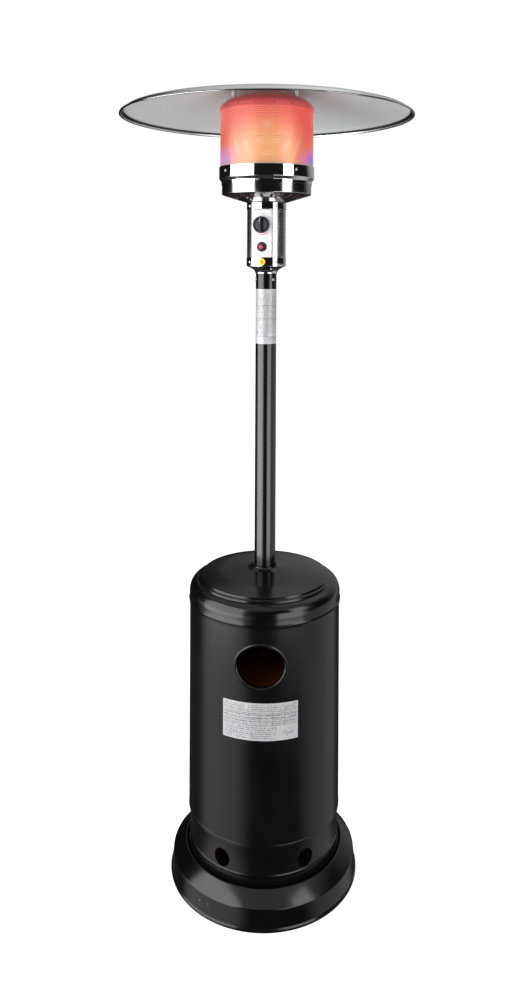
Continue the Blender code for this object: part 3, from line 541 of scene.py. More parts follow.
def finished_mesh(shape):
    bmesh.ops.recalc_face_normals(shape, faces=shape.faces)
    return released(shape)


def tube(outer, inner, bottom, top, edge=0.0004):
    """Section of a tube with softened rims."""
    return [
        (outer - edge, top), (outer, top - edge), (outer, bottom + edge), (outer - edge, bottom),
        (inner + edge, bottom), (inner, bottom + edge), (inner, top - edge), (inner + edge, top),
    ]


def rod(radius, bottom, top, edge=0.0005):
    return [(0.0, top), (radius - edge, top), (radius, top - edge),
            (radius, bottom + edge), (radius - edge, bottom), (0.0, bottom)]


def block_mesh(size, bevel=0.0, steps=3, taper=1.0):
    """A block centred on the origin with rounded edges; taper narrows its +Z face across X."""
    shape = bmesh.new()
    bmesh.ops.create_cube(shape, size=1.0, matrix=Matrix.Diagonal((*size, 1.0)))
    for vertex in shape.verts:
        if vertex.co.z > 0:
            vertex.co.x *= taper
    if bevel:
        bmesh.ops.bevel(
            shape, geom=shape.edges[:], offset=bevel, segments=steps, profile=0.5, affect="EDGES"
        )
    return finished_mesh(shape)


def joined_mesh(parts):
    """One mesh from (mesh, placement) pairs."""
    shape = bmesh.new()
    for mesh, placement in parts:
        copy = mesh.copy()
        copy.transform(placement)
        shape.from_mesh(copy)
        bpy.data.meshes.remove(copy)
    return released(shape)


def gathered(*meshes):
    """One mesh from several that are in place already."""
    return joined_mesh([(mesh, IN_PLACE) for mesh in meshes])


def ring_of(mesh, azimuths, distance, height):
    """Copies of a mesh that face outwards at several azimuths, in one mesh."""
    return joined_mesh([(mesh, facing(azimuth, distance, height)) for azimuth in azimuths])


def scratch(mesh):
    """A temporary object for modifiers."""
    helper = bpy.data.objects.new("scratch", mesh)
    scene.collection.objects.link(helper)
    return helper


def evaluated_mesh(helper):
    """The helper's mesh with its modifiers applied. The helper is removed."""
    mesh = bpy.data.meshes.new_from_object(helper.evaluated_get(bpy.context.evaluated_depsgraph_get()))
    bpy.data.objects.remove(helper, do_unlink=True)
    return mesh


def combined(mesh, other, operation="DIFFERENCE"):
    """The first mesh with the other cut away, or joined to it."""
    body = scratch(mesh)
    tool = scratch(other)
    step = body.modifiers.new("combine", "BOOLEAN")
    step.operation = operation
    step.object = tool
    step.solver = "EXACT"
    result = evaluated_mesh(body)
    bpy.data.objects.remove(tool, do_unlink=True)
    return result


def thickened(mesh, thickness):
    """A surface made into a sheet that grows inwards."""
    body = scratch(mesh)
    step = body.modifiers.new("sheet", "SOLIDIFY")
    step.thickness = thickness
    step.offset = -1.0
    return evaluated_mesh(body)


def piece(name, mesh, material, nodes=(), body="root", placement=None, sharp=32):
    """Adds a finished piece to a body of the frame."""
    if placement is not None:
        mesh.transform(placement)
    mesh.name = name
    mesh.materials.clear()
    mesh.materials.append(MATERIALS[material])
    mesh.shade_smooth()
    mesh.set_sharp_from_angle(angle=radians(sharp))
    made = bpy.data.objects.new(name, mesh)
    scene.collection.objects.link(made)
    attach(made, body)
    if nodes:
        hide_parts(*nodes)
    return made


def cylinder_mesh(radius, length, segments=SMALL):
    return turned_mesh([(0.0, length / 2), (radius, length / 2), (radius, -length / 2), (0.0, -length / 2)],
                       segments)


def hexagon_mesh(radius, bottom, top, chamfer=0.0006):
    rim = [(radius - chamfer, top), (radius, top - chamfer), (radius, bottom)]
    return turned_mesh([(0.0, top), *rim, (0.0, bottom)], 6)


def screw_mesh(head, height):
    """Pan head with a cross recess, standing on local +Z."""
    profile = rounded([(0.0, height), (head * 0.55, height * 0.97, head * 0.5),
                       (head, height * 0.45, head * 0.25), (head, 0.0)])
    dome = turned_mesh([*profile, (0.0, 0.0)], SMALL)
    for turn in (0.0, pi / 2):
        bar = block_mesh((head * 1.1, head * 0.26, height * 0.8))
        bar.transform(Matrix.Translation((0, 0, height)) @ Matrix.Rotation(turn, 4, "Z"))
        dome = combined(dome, bar)
    return dome


def rivet_mesh(head, height):
    profile = rounded([(0.0, height), (head * 0.7, height * 0.9, head * 0.5), (head, 0.0)])
    return turned_mesh([*profile, (0.0, 0.0)], 20)


def wrapped_patch(radius, azimuth, width, bottom, top, thickness, corner=0.003, columns=40):
    """A thin patch that lies round a cylinder, with flat coordinates in metres for its print."""
    shape = bmesh.new()
    layer = shape.loops.layers.uv.new("label")
    lines = []
    for index in range(columns + 1):
        share = index / columns
        across = width * (share - sin(2 * pi * share) / (2 * pi) * 0.6)
        edge = min(across, width - across)
        inset = corner - sqrt(max(0.0, corner ** 2 - (corner - min(edge, corner)) ** 2))
        bearing = azimuth + degrees((across - width / 2) / radius)
        foot = shape.verts.new(around(radius, bearing, bottom + inset))
        head = shape.verts.new(around(radius, bearing, top - inset))
        lines.append((across, inset, foot, head))
    for first, second in zip(lines, lines[1:]):
        face = shape.faces.new((first[2], second[2], second[3], first[3]))
        flat = ((first[0], first[1]), (second[0], second[1]),
                (second[0], top - bottom - second[1]), (first[0], top - bottom - first[1]))
        for loop, spot in zip(face.loops, flat):
            loop[layer].uv = spot
    return thickened(released(shape), thickness)


def perforated_mesh(radius, thickness, bottom, top, columns, rows, margin, open_share, window=None):
    """A tube of sheet with staggered six-sided holes, open at a window given as (azimuth, half
    angle, bottom, top)."""
    shape = bmesh.new()
    row_height = (top - bottom - 2 * margin) / rows
    levels = [bottom, *(bottom + margin + row_height * row for row in range(rows + 1)), top]
    grid = []
    for level in levels:
        ring = [around(radius, 180 * step / columns, level) for step in range(2 * columns)]
        grid.append([shape.verts.new(spot) for spot in ring])
    hole = open_share * min(row_height, 2 * pi * radius / columns) / 2

    def kept(azimuth, level):
        if window is None:
            return True
        away = abs((azimuth - window[0] + 180) % 360 - 180)
        return away > window[1] or not window[2] < level < window[3]

    for line in range(len(levels) - 1):
        level = (levels[line] + levels[line + 1]) / 2
        plain = line in (0, len(levels) - 2)
        for column in range(columns):
            start = 2 * column + line % 2
            azimuth = 180 * (start + 1) / columns
            if not kept(azimuth, level):
                continue
            places = [(start + offset) % (2 * columns) for offset in (0, 1, 2)]
            below = [grid[line][place] for place in places]
            above = [grid[line + 1][place] for place in places]
            if plain:
                shape.faces.new((below[0], below[1], above[1], above[0]))
                shape.faces.new((below[1], below[2], above[2], above[1]))
                continue
            rim = []
            for corner in range(6):
                angle = radians(210 + 60 * corner)
                bearing = azimuth + degrees(hole * cos(angle) / radius)
                rim.append(shape.verts.new(around(radius, bearing, level + hole * sin(angle))))
            outline = [below[0], below[1], below[2], above[2], above[1], above[0]]
            for corner in range(6):
                after = (corner + 1) % 6
                shape.faces.new((outline[corner], outline[after], rim[after], rim[corner]))
    loose = [vertex for vertex in shape.verts if not vertex.link_faces]
    bmesh.ops.delete(shape, geom=loose, context="VERTS")
    return thickened(released(shape), thickness)


def tube_along(route, radius, sides=20):
    """A round tube with closed ends along a list of points."""
    curve = bpy.data.curves.new("route", "CURVE")
    curve.dimensions = "3D"
    curve.bevel_depth = radius
    curve.bevel_resolution = sides // 2 - 2
    curve.use_fill_caps = True
    spline = curve.splines.new("POLY")
    spline.points.add(len(route) - 1)
    for point, spot in zip(spline.points, route):
        point.co = (*spot, 1.0)
    mesh = evaluated_mesh(scratch(curve))
    shape = bmesh.new()
    shape.from_mesh(mesh)
    bmesh.ops.remove_doubles(shape, verts=shape.verts, dist=1e-6)
    return finished_mesh(shape)


# ---------------------------------------------------------------- base
def make_base():
    rim = reach("base_skirt")
    flange = high("base_skirt") - 0.0048
    shoulder = high("base_skirt")
    profile = [
        (0.1780, flange),
        (0.2055, flange, 0.0030),
        (0.2125, shoulder, 0.0016),
        (0.2156, shoulder - 0.0002, 0.0022),
        (0.2475, 0.0525, 0.0050),
        (0.2520, 0.0095, 0.0030),
        (rim, 0.0062, 0.0014),
        (rim, 0.0, 0.0028),
        (rim - 0.0075, 0.0),
    ]
    skirt = sheet_mesh(profile)
    holes = ring_of(cylinder_mesh(0.0035, 0.03), KIT_HOLE_AZIMUTHS, 0.25, 0.032)
    piece("base_skirt_pressing", combined(skirt, holes), "pressing_paint", ["base_skirt"])

    radius = 0.2030
    ledge = reach("vent_ring")
    profile = [
        (radius, high("vent_ring")),
        (radius, 0.1757, 0.0006),
        (ledge, 0.1755, 0.0006),
        (ledge, 0.1720, 0.0012),
        (radius, 0.1705, 0.0012),
        (radius, 0.1062, 0.0020),
        (radius + 0.0016, 0.1030, 0.0022),
        (radius, 0.0998, 0.0020),
        (radius, low("vent_ring") + SHEET, 0.0012),
        (0.1780, low("vent_ring") + SHEET),
    ]
    ring = sheet_mesh(profile)
    vents = ring_of(cylinder_mesh(0.023, 0.03, 48), VENT_AZIMUTHS, radius, 0.131)
    piece("vent_ring_pressing", combined(ring, vents), "housing_paint", ["vent_ring"])

    deck = turned_mesh(tube(reach("base_plate"), 0.030, low("base_plate"), high("base_plate")))
    piece("base_plate_disc", deck, "zinc", ["base_plate"])


def make_posts():
    for index, azimuth in enumerate(POST_AZIMUTHS):
        number = index + 1
        name = f"support_post_{number}"
        foot = Matrix.Translation(around(0.190, azimuth, 0.0))
        column = turned_mesh(tube(0.008, 0.0065, low(name), high(name)), SMALL)
        piece(f"{name}_tube", column, "zinc", [name], placement=foot)
        for node_name, upward in ((f"post_bolt_{number}", True), (f"bracket_bolt_{number}", False)):
            bottom, top = low(node_name), high(node_name)
            seat = bottom + 0.004 if upward else top - 0.004
            lower, upper = (bottom, seat), (seat, top)
            head, thread = (lower, upper) if upward else (upper, lower)
            bolt = gathered(hexagon_mesh(0.0055, *head), turned_mesh(rod(0.003, *thread), 20))
            piece(f"{node_name}_fastener", bolt, "zinc", [node_name], placement=foot)


def make_bracket():
    """Three-armed plate with its welded pole socket."""
    bottom = low("pole_bracket")
    top = bottom + 0.004
    plate = turned_mesh(tube(0.048, 0.015, bottom, top), MEDIUM)
    for azimuth in POST_AZIMUTHS:
        arm = block_mesh((0.022, 0.160, 0.004), 0.0004, 1)
        turn = Matrix.Rotation(radians(azimuth), 4, "Z")
        arm.transform(turn @ Matrix.Translation((0, -0.110, (bottom + top) / 2)))
        tip = turned_mesh(tube(0.011, 0.0033, bottom, top), SMALL)
        tip.transform(Matrix.Translation(around(0.190, azimuth, 0.0)))
        plate = combined(combined(plate, arm, "UNION"), tip, "UNION")
    inner = reach("pole") + 0.0003
    socket = turned_mesh(tube(inner + 0.0029, inner, top - 0.001, high("pole_bracket")), MEDIUM)
    bead = [(inner + 0.0027, top + 0.003), (inner + 0.0062, top - 0.0002), (inner + 0.0027, top - 0.0002)]
    piece("pole_bracket_weldment", gathered(plate, socket, turned_mesh(bead, MEDIUM)), "zinc",
          ["pole_bracket"])


def make_pole():
    radius = reach("pole")
    pole = turned_mesh(tube(radius, radius - 0.0015, low("pole"), high("pole")), MEDIUM)
    piece("pole_tube", pole, "pole_paint", ["pole"])
    bottom, top = low("pole_label"), high("pole_label")
    width = radians(153) * radius
    height = top - bottom
    add_material(
        "label_foil", printed_foil, "pole_print", width, height, 0.0033,
        ((0.06, 0.94, 0.93, 0.98, 60.0), (0.05, 0.52, 0.14, 0.90, 330.0), (0.56, 0.95, 0.20, 0.90, 300.0),
         (0.60, 0.92, 0.03, 0.12, 120.0)),
        (0.915, 0.70, 0.46, 0.135),
        ((0.54, 0.135, 0.915),),
    )
    patch = wrapped_patch(radius + 0.0006, 0.0, width, bottom, top, 0.0003)
    piece("pole_label_foil", patch, "pole_print", ["pole_label"])


# ---------------------------------------------------------------- gas bottle
def make_gas_bottle():
    radius = reach("gas_bottle")
    shoulder, bowl, foot = 0.485, 0.158, low("gas_bottle")
    outline = [(0.016, high("gas_bottle")), (0.016, 0.5760, 0.006)]
    outline += oval(0.0, shoulder, radius, 0.090, range(80, -1, -8))
    seam = (shoulder + bowl) / 2
    outline += [(radius, seam + 0.004), (radius - 0.0008, seam + 0.003), (radius - 0.0008, seam - 0.003),
                (radius, seam - 0.004)]
    outline += oval(0.0, bowl, radius, 0.068, range(0, -81, -8))
    outline.append((0.0, foot))
    piece("gas_bottle_shell", sheet_mesh(outline, 0.003), "bottle_paint", ["gas_bottle"])

    ring = turned_mesh(tube(reach("bottle_foot_ring"), 0.1205, low("bottle_foot_ring"),
                            high("bottle_foot_ring"), 0.001))
    vents = ring_of(cylinder_mesh(0.007, 0.3), (0, 60, 120), 0.0, 0.090)
    piece("bottle_foot_hoop", combined(ring, vents), "bottle_paint", ["bottle_foot_ring"])

    stem = rounded([(0.0, high("bottle_valve")), (0.0085, high("bottle_valve"), 0.001), (0.0085, 0.6205),
                    (0.0130, 0.6190, 0.001), (0.0130, 0.5950), (0.0155, 0.5930, 0.001), (0.0155, 0.5833),
                    (0.0115, 0.5833), (0.0115, low("bottle_valve")), (0.0, low("bottle_valve"))])
    outlet = cylinder_mesh(0.009, 0.018)
    outlet.transform(facing(GAS_AZIMUTH, 0.016, OUTLET_HEIGHT))
    piece("bottle_valve_body", combined(turned_mesh(stem, MEDIUM), outlet, "UNION"), "brass",
          ["bottle_valve"])

    wheel_top, wheel_low = high("valve_handwheel"), low("valve_handwheel")
    wheel = lathed([
        (0.0, wheel_top - 0.002), (0.010, wheel_top - 0.002, 0.002), (0.014, wheel_top, 0.002),
        (0.0260, wheel_top, 0.003), (0.0260, 0.6350, 0.003), (0.0070, 0.6350, 0.002), (0.0070, wheel_low),
        (0.0, wheel_low),
    ])
    scallop = cylinder_mesh(0.0060, 0.03)
    grips = [(scallop, Matrix.Translation(around(0.0290, 45 * step, 0.6415))) for step in range(8)]
    piece("valve_handwheel_knob", combined(wheel, joined_mesh(grips)), "black_plastic",
          ["valve_handwheel"], body="handwheel")

    body = lathed([
        (0.0, 0.6270), (0.0110, 0.6270), (0.0125, 0.6255, 0.001), (0.0185, 0.6255, 0.002),
        (0.0270, 0.6205, 0.003), (0.0270, 0.6100), (0.0262, 0.6090), (0.0262, 0.6070), (0.0270, 0.6060),
        (0.0270, 0.5960, 0.003), (0.0220, 0.5900, 0.003), (0.0, 0.5900),
    ])
    body.transform(Matrix.Translation(around(0.0700, GAS_AZIMUTH, 0.0)))
    nut = hexagon_mesh(0.0135, -0.012, 0.012)
    nut.transform(facing(GAS_AZIMUTH, 0.0373, OUTLET_HEIGHT))
    spout = cylinder_mesh(0.0060, 0.016)
    spout.transform(facing(GAS_AZIMUTH, 0.0980, OUTLET_HEIGHT))
    body = combined(combined(body, nut, "UNION"), spout, "UNION")
    piece("gas_regulator_body", body, "zinc", ["gas_regulator"])


def hose_route():
    """The gas hose leaves the regulator, turns back over the bottle and climbs inside the pole."""
    route = [around(distance, GAS_AZIMUTH, OUTLET_HEIGHT) for distance in (0.1072, 0.1160)]
    for angle in range(-90, 91, 10):
        distance = HOSE_BEND + HOSE_LOOP * cos(radians(angle))
        route.append(around(distance, GAS_AZIMUTH, OUTLET_HEIGHT + HOSE_LOOP * (1 + sin(radians(angle)))))
    upper = OUTLET_HEIGHT + 2 * HOSE_LOOP
    for angle in range(0, 91, 10):
        distance = HOSE_LOOP * (1 - sin(radians(angle)))
        route.append(around(distance, GAS_AZIMUTH, upper + HOSE_LOOP * (1 - cos(radians(angle)))))
    route.append(Vector((0.0, 0.0, high("gas_hose"))))
    return route


def make_hose():
    piece("gas_hose_line", tube_along(hose_route(), HOSE_RADIUS), "hose_rubber", ["gas_hose"], sharp=50)
    clamp = turned_mesh(tube(0.0070, 0.0056, -0.0035, 0.0035, 0.0004), SMALL)
    piece("hose_clamp", clamp, "zinc", placement=facing(GAS_AZIMUTH, 0.1130, OUTLET_HEIGHT))


# ---------------------------------------------------------------- lifting housing
def hand_hole_ring():
    """Raised lip round the hand hole, with a return flange: a section swept round an ellipse."""
    radius = reach("tank_housing")
    lowest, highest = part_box("hand_hole_trim")
    lip = 0.005
    half_height = (highest.z - lowest.z) / 2 - lip
    half_width = 0.0654
    level = (highest.z + lowest.z) / 2
    section = oval(0.0, 0.0, lip, lip * 0.95, [180 - 22.5 * step for step in range(9)])
    section += [(lip, -0.0006), (-0.0028, -0.0006), (-0.0032, -0.0070), (-0.0044, -0.0070), (-lip, -0.0012)]
    frame_here = facing(HAND_HOLE_AZIMUTH, 0.0, level)
    shape = bmesh.new()
    rings = []
    count = 96
    for step in range(count):
        angle = 2 * pi * step / count
        across, up = half_width * cos(angle), half_height * sin(angle)
        out = Vector((half_height * cos(angle), half_width * sin(angle))).normalized()
        ring = []
        for away, proud in section:
            x = across + out.x * away
            y = up + out.y * away
            depth = sqrt(radius ** 2 - x ** 2)
            normal = Vector((x, 0.0, depth)).normalized()
            ring.append(shape.verts.new(frame_here @ (Vector((x, y, depth)) + normal * proud)))
        rings.append(ring)
    for first, second in zip(rings, rings[1:] + rings[:1]):
        for index in range(len(section)):
            after = (index + 1) % len(section)
            shape.faces.new((first[index], second[index], second[after], first[after]))
    return finished_mesh(shape)


def make_housing():
    radius = reach("tank_housing")
    bottom, top = low("tank_housing"), high("tank_housing")
    profile = [
        (radius, top),
        (radius, bottom + 0.0075, 0.0010),
        (radius + 0.0005, bottom + 0.0065, 0.0010),
        (radius + 0.0005, bottom),
    ]
    wall = sheet_mesh(profile, SHEET, 192)
    lowest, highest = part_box("hand_hole_trim")
    level = (lowest.z + highest.z) / 2
    cutter = cylinder_mesh(1.0, 0.06, 96)
    size = Matrix.Diagonal((0.0668, (highest.z - lowest.z) / 2 - 0.0036, 1.0, 1.0))
    cutter.transform(facing(HAND_HOLE_AZIMUTH, radius, level) @ size)
    piece("tank_housing_wall", combined(wall, cutter), "housing_paint", ["tank_housing"], body="housing")
    piece("hand_hole_lip", hand_hole_ring(), "trim_paint", ["hand_hole_trim"], body="housing", sharp=50)

    seam = wrapped_patch(radius + 0.0007, 180.0, 0.016, bottom + 0.012, 0.7290, 0.0009, 0.002, 16)
    piece("housing_back_seam", seam, "housing_paint", body="housing")
    stud = rivet_mesh(0.0032, 0.0012)
    rivets = [(stud, facing(180.0, radius + 0.0006, bottom + 0.040 + 0.055 * step)) for step in range(10)]
    piece("housing_seam_rivets", joined_mesh(rivets), "housing_paint", body="housing")

    skirt = 0.2079
    bead = reach("housing_lid")
    edge = 0.1890
    profile = [
        (0.0328, high("housing_lid")),
        (0.0352, 0.8205, 0.0060),
        (0.0480, 0.8165, 0.0120),
        (0.1250, 0.8105, 0.1500),
        (0.1750, 0.8000, 0.0012),
        (0.1768, 0.7945, 0.0008),
        (0.1815, 0.7925, 0.0008),
        (0.1830, 0.7872, 0.0008),
        (edge, 0.7865, 0.0008),
        *oval(edge, 0.7570, skirt - edge, 0.0290, range(72, -1, -6)),
        (skirt, 0.7432, 0.0012),
        (bead, 0.7400, 0.0016),
        (skirt, 0.7368, 0.0012),
        (skirt, low("housing_lid")),
    ]
    piece("housing_lid_pressing", sheet_mesh(profile, THIN_SHEET, 192), "pressing_paint", ["housing_lid"],
          body="housing")
    bush = turned_mesh(tube(reach("lid_bush"), 0.0299, low("lid_bush"), high("lid_bush")), MEDIUM)
    piece("lid_bush_ring", bush, "black_plastic", ["lid_bush"], body="housing")

    bottom, top = low("rating_label"), high("rating_label")
    height = top - bottom
    width = radians(55.4) * radius
    add_material(
        "label_foil", printed_foil, "rating_print", width, height, 0.0052,
        ((0.02, 0.30, 0.80, 0.95, 260.0), (0.34, 0.98, 0.80, 0.95, 260.0), (0.02, 0.13, 0.42, 0.78, 330.0),
         (0.15, 0.32, 0.42, 0.78, 300.0), (0.34, 0.98, 0.42, 0.78, 320.0), (0.02, 0.72, 0.04, 0.40, 240.0),
         (0.78, 0.94, 0.10, 0.26, 90.0)),
        (0.795, 0.69, 0.60, 0.51, 0.41),
        ((0.14, 0.41, 0.795), (0.33, 0.41, 0.795), (0.50, 0.41, 0.795), (0.66, 0.41, 0.795),
         (0.82, 0.41, 0.795)),
    )
    patch = wrapped_patch(radius + 0.0006, LABEL_AZIMUTH, width, bottom, top, 0.0003, 0.0015)
    piece("rating_label_foil", patch, "rating_print", ["rating_label"], body="housing")


# ---------------------------------------------------------------- control head
def make_neck():
    radius = reach("neck_sleeve")
    top = high("neck_sleeve")
    profile = [
        (radius, top),
        (radius, top - 0.0012, 0.0008),
        (0.0430, 1.6470, 0.0060),
        (0.0340, 1.6410, 0.0060),
        (0.0306, 1.6345, 0.0030),
        (0.0303, 1.6318, 0.0008),
        (0.0275, 1.6318, 0.0004),
        (0.0270, low("neck_sleeve")),
    ]
    piece("neck_funnel", sheet_mesh(profile, 0.0008), "polished_steel", ["neck_sleeve"])
    for index, azimuth in enumerate(NECK_SCREW_AZIMUTHS):
        name = f"neck_screw_{index + 1}"
        piece(f"{name}_head", screw_mesh(0.0045, 0.0026), "zinc", [name],
              placement=facing(azimuth, reach("pole") + 0.0002, middle(name).z))


def make_control_casing():
    shell = reach("control_shell")
    bottom, top = low("control_shell"), high("control_shell")
    panel_low, panel_high = low("control_panel"), high("control_panel")
    window = (HEAD_TURN, 27.0, panel_low - 0.001, panel_high + 0.002)
    casing = perforated_mesh(shell, THIN_SHEET, bottom, top, 88, 34, 0.0180, 0.46, window)
    piece("control_shell_sheet", casing, "satin_steel", ["control_shell"])

    for name in ("control_band_lower", "control_band_upper"):
        outer = reach(name)
        profile = [
            (outer - 0.0010, high(name)),
            (outer, high(name) - 0.0006, 0.0006),
            (outer, low(name) + 0.0006, 0.0006),
            (outer - 0.0010, low(name)),
        ]
        piece(f"{name}_hoop", sheet_mesh(profile, 0.0007), "polished_steel", [name])
    head = screw_mesh(0.0042, 0.0024)
    places = []
    for level in (middle("control_band_lower").z, middle("control_band_upper").z):
        for turn in (-136, -44, 44, 136):
            places.append((head, facing(HEAD_TURN + turn, reach("control_band_upper") - 0.0002, level)))
    piece("control_band_screws", joined_mesh(places), "zinc")

    front, back = PANEL_FRONT, PANEL_BACK
    level = (panel_low + panel_high) / 2
    panel = block_mesh((0.0540, panel_high - panel_low, front - back), 0.0011)
    panel.transform(facing(HEAD_TURN, (front + back) / 2, level))
    for radius, spot in ((0.0060, middle("control_knob").z), (0.0090, middle("igniter_bezel").z)):
        drill = cylinder_mesh(radius, 0.03)
        drill.transform(facing(HEAD_TURN, front, spot))
        panel = combined(panel, drill)
    piece("control_panel_plate", panel, "panel_white", ["control_panel"])

    outer = reach("control_band_lower") + 0.0005
    level = middle("warning_sticker").z
    disc = wrapped_patch(outer, HEAD_TURN, 0.0195, level - 0.00975, level + 0.00975, 0.0003, 0.00975, 48)
    piece("warning_sticker_disc", disc, "sticker_vinyl", ["warning_sticker"])
    marks = (
        (0.0, 0.0, 0.0030, 0.0078),
        (-0.0022, -0.0018, 0.0022, 0.0044),
        (0.0024, -0.0020, 0.0022, 0.0040),
    )
    for index, (offset, lift, width, tall) in enumerate(marks):
        spot = level + lift
        bearing = HEAD_TURN + degrees(offset / outer)
        ends = (spot - tall / 2, spot + tall / 2)
        mark = wrapped_patch(outer + 0.0002, bearing, width, *ends, 0.0002, width / 2, 16)
        piece(f"sticker_mark_{index + 1}", mark, "sticker_ink")


def flat_mark(width, height, level, offset=0.0):
    """A thin printed bar on the control panel."""
    mark = block_mesh((width, height, 0.0001))
    mark.transform(facing(HEAD_TURN, PRINT_FACE, level) @ Matrix.Translation((offset, 0, 0)))
    return mark


def make_controls():
    knob_level = middle("control_knob").z
    seat = 0.0580
    knob = lathed([
        (0.0, 0.0078), (0.0170, 0.0082, 0.004), (0.0196, 0.0100, 0.0012), (0.0216, 0.0098, 0.0020),
        (0.0230, 0.0060, 0.0020), (0.0230, 0.0, 0.0006), (0.0034, 0.0), (0.0034, 0.0060), (0.0, 0.0060),
    ])
    flutes = cylinder_mesh(0.0011, 0.03, 12)
    cuts = [(flutes, Matrix.Translation(around(0.0237, 15 * step, 0.0))) for step in range(24)]
    knob = combined(knob, joined_mesh(cuts))
    grip = block_mesh((0.0092, 0.0410, 0.0145), 0.0024, 4, 0.72)
    grip.transform(Matrix.Translation((0, 0, 0.0147)))
    knob = combined(knob, grip, "UNION")
    piece("control_knob_cap", knob, "black_plastic", ["control_knob"], body="knob",
          placement=facing(HEAD_TURN, seat, knob_level), sharp=40)
    # Two thin bluish half discs on the knob's face, either side of the grip: a painted reflection of the
    # lamps.
    halves = []
    for side in (-1, 1):
        reflection_disc = turned_mesh([(0.0, 0.0006), (0.0160, 0.0006), (0.0160, 0.0), (0.0, 0.0)], MEDIUM)
        half_space = block_mesh((0.0400, 0.0400, 0.0100))
        half_space.transform(Matrix.Translation((-side * (0.0200 - 0.0056), 0, 0)))
        halves.append((combined(reflection_disc, half_space), Matrix.Translation((0, 0, 0.0082))))
    piece("knob_facets", joined_mesh(halves), "knob_face", body="knob",
          placement=facing(HEAD_TURN, seat, knob_level))
    pointer = block_mesh((0.0009, 0.0120, 0.0003), 0.0001, 1)
    piece("knob_pointer", pointer, "panel_white", body="knob",
          placement=facing(HEAD_TURN, seat + 0.02195, knob_level) @ Matrix.Translation((0, 0.0125, 0)))

    scale = []
    for step in range(9):
        angle = radians(236 + 8.5 * step)
        bar = block_mesh((0.0040, 0.0009 + 0.0002 * step, 0.0001))
        turn = Matrix.Rotation(angle + pi / 2, 4, "Z")
        spot = Matrix.Translation((0.0264 * cos(angle), 0.0264 * sin(angle), 0))
        scale.append((bar, facing(HEAD_TURN, PRINT_FACE, knob_level) @ spot @ turn))
    piece("panel_heat_scale", joined_mesh(scale), "red_ink")
    marks = [
        flat_mark(0.0100, 0.0014, knob_level + 0.0315, 0.003),
        flat_mark(0.0060, 0.0014, knob_level - 0.0310, 0.012),
        flat_mark(0.0110, 0.0014, knob_level - 0.0375, 0.012),
        flat_mark(0.0140, 0.0014, low("control_panel") + 0.0100, 0.001),
    ]
    piece("panel_marks", gathered(*marks), "grey_ink")

    level = middle("igniter_bezel").z
    ring = lathed([
        (0.0070, 0.0024, 0.0004), (0.0078, 0.0030, 0.0006), (0.0122, 0.0030, 0.0010),
        (0.0135, 0.0018, 0.0010), (0.0135, 0.0003), (0.0087, 0.0003), (0.0087, -0.0060),
        (0.0068, -0.0060), (0.0068, 0.0020),
    ])
    front = facing(HEAD_TURN, PANEL_FRONT, level)
    piece("igniter_bezel_ring", ring, "black_plastic", ["igniter_bezel"], placement=front)
    button = lathed([
        (0.0, 0.0138), (0.0034, 0.0139, 0.002), (0.0050, 0.0138, 0.001), (0.0058, 0.0124, 0.0008),
        (0.0058, -0.0060), (0.0, -0.0060),
    ])
    piece("igniter_button_cap", button, "red_plastic", ["igniter_button"], body="igniter", placement=front)


# ---------------------------------------------------------------- burner and emitter
def make_burner():
    radius = reach("burner_pan")
    bottom, top = low("burner_pan"), high("burner_pan")
    corner = bottom + 0.0220
    profile = [
        (radius, top),
        (radius, corner, 0.0030),
        (PAN_FLAT_RADIUS, bottom, 0.0030),
        (0.0172, bottom),
    ]
    pan = sheet_mesh(profile, THIN_SHEET)
    slope = (corner - bottom) / (radius - PAN_FLAT_RADIUS)
    slot_height = bottom + (SLOT_CIRCLE - PAN_FLAT_RADIUS) * slope
    slot = block_mesh((0.0085, 0.0300, 0.02))
    slots = []
    for index in range(SLOT_COUNT):
        azimuth = 360 * (index + 0.5) / SLOT_COUNT
        spot = Matrix.Translation(around(SLOT_CIRCLE, azimuth, slot_height))
        slots.append((slot, spot @ Matrix.Rotation(radians(azimuth), 4, "Z")))
    piece("burner_pan_pressing", combined(pan, joined_mesh(slots)), "pan_steel", ["burner_pan"])

    outer = reach("burner_ring")
    profile = [
        (outer - 0.0018, high("burner_ring") - 0.0004),
        (outer - 0.0004, high("burner_ring"), 0.0006),
        (outer, high("burner_ring") - 0.0012, 0.0008),
        (outer, 1.8932, 0.0016),
        (radius + 0.0018, 1.8848, 0.0014),
        (radius + 0.0014, low("burner_ring")),
    ]
    piece("burner_ring_band", sheet_mesh(profile, THIN_SHEET), "polished_steel", ["burner_ring"])
    strap = wrapped_patch(radius + 0.0024, 0.0, 0.0400, 1.8765, 1.8842, 0.0009, 0.0006, 24)
    piece("burner_ring_joint", strap, "polished_steel")
    screws = ring_of(screw_mesh(0.0040, 0.0024), (-58.0, 37.0, 127.0, 217.0), outer - 0.0002, 1.9110)
    piece("burner_ring_screws", screws, "zinc")


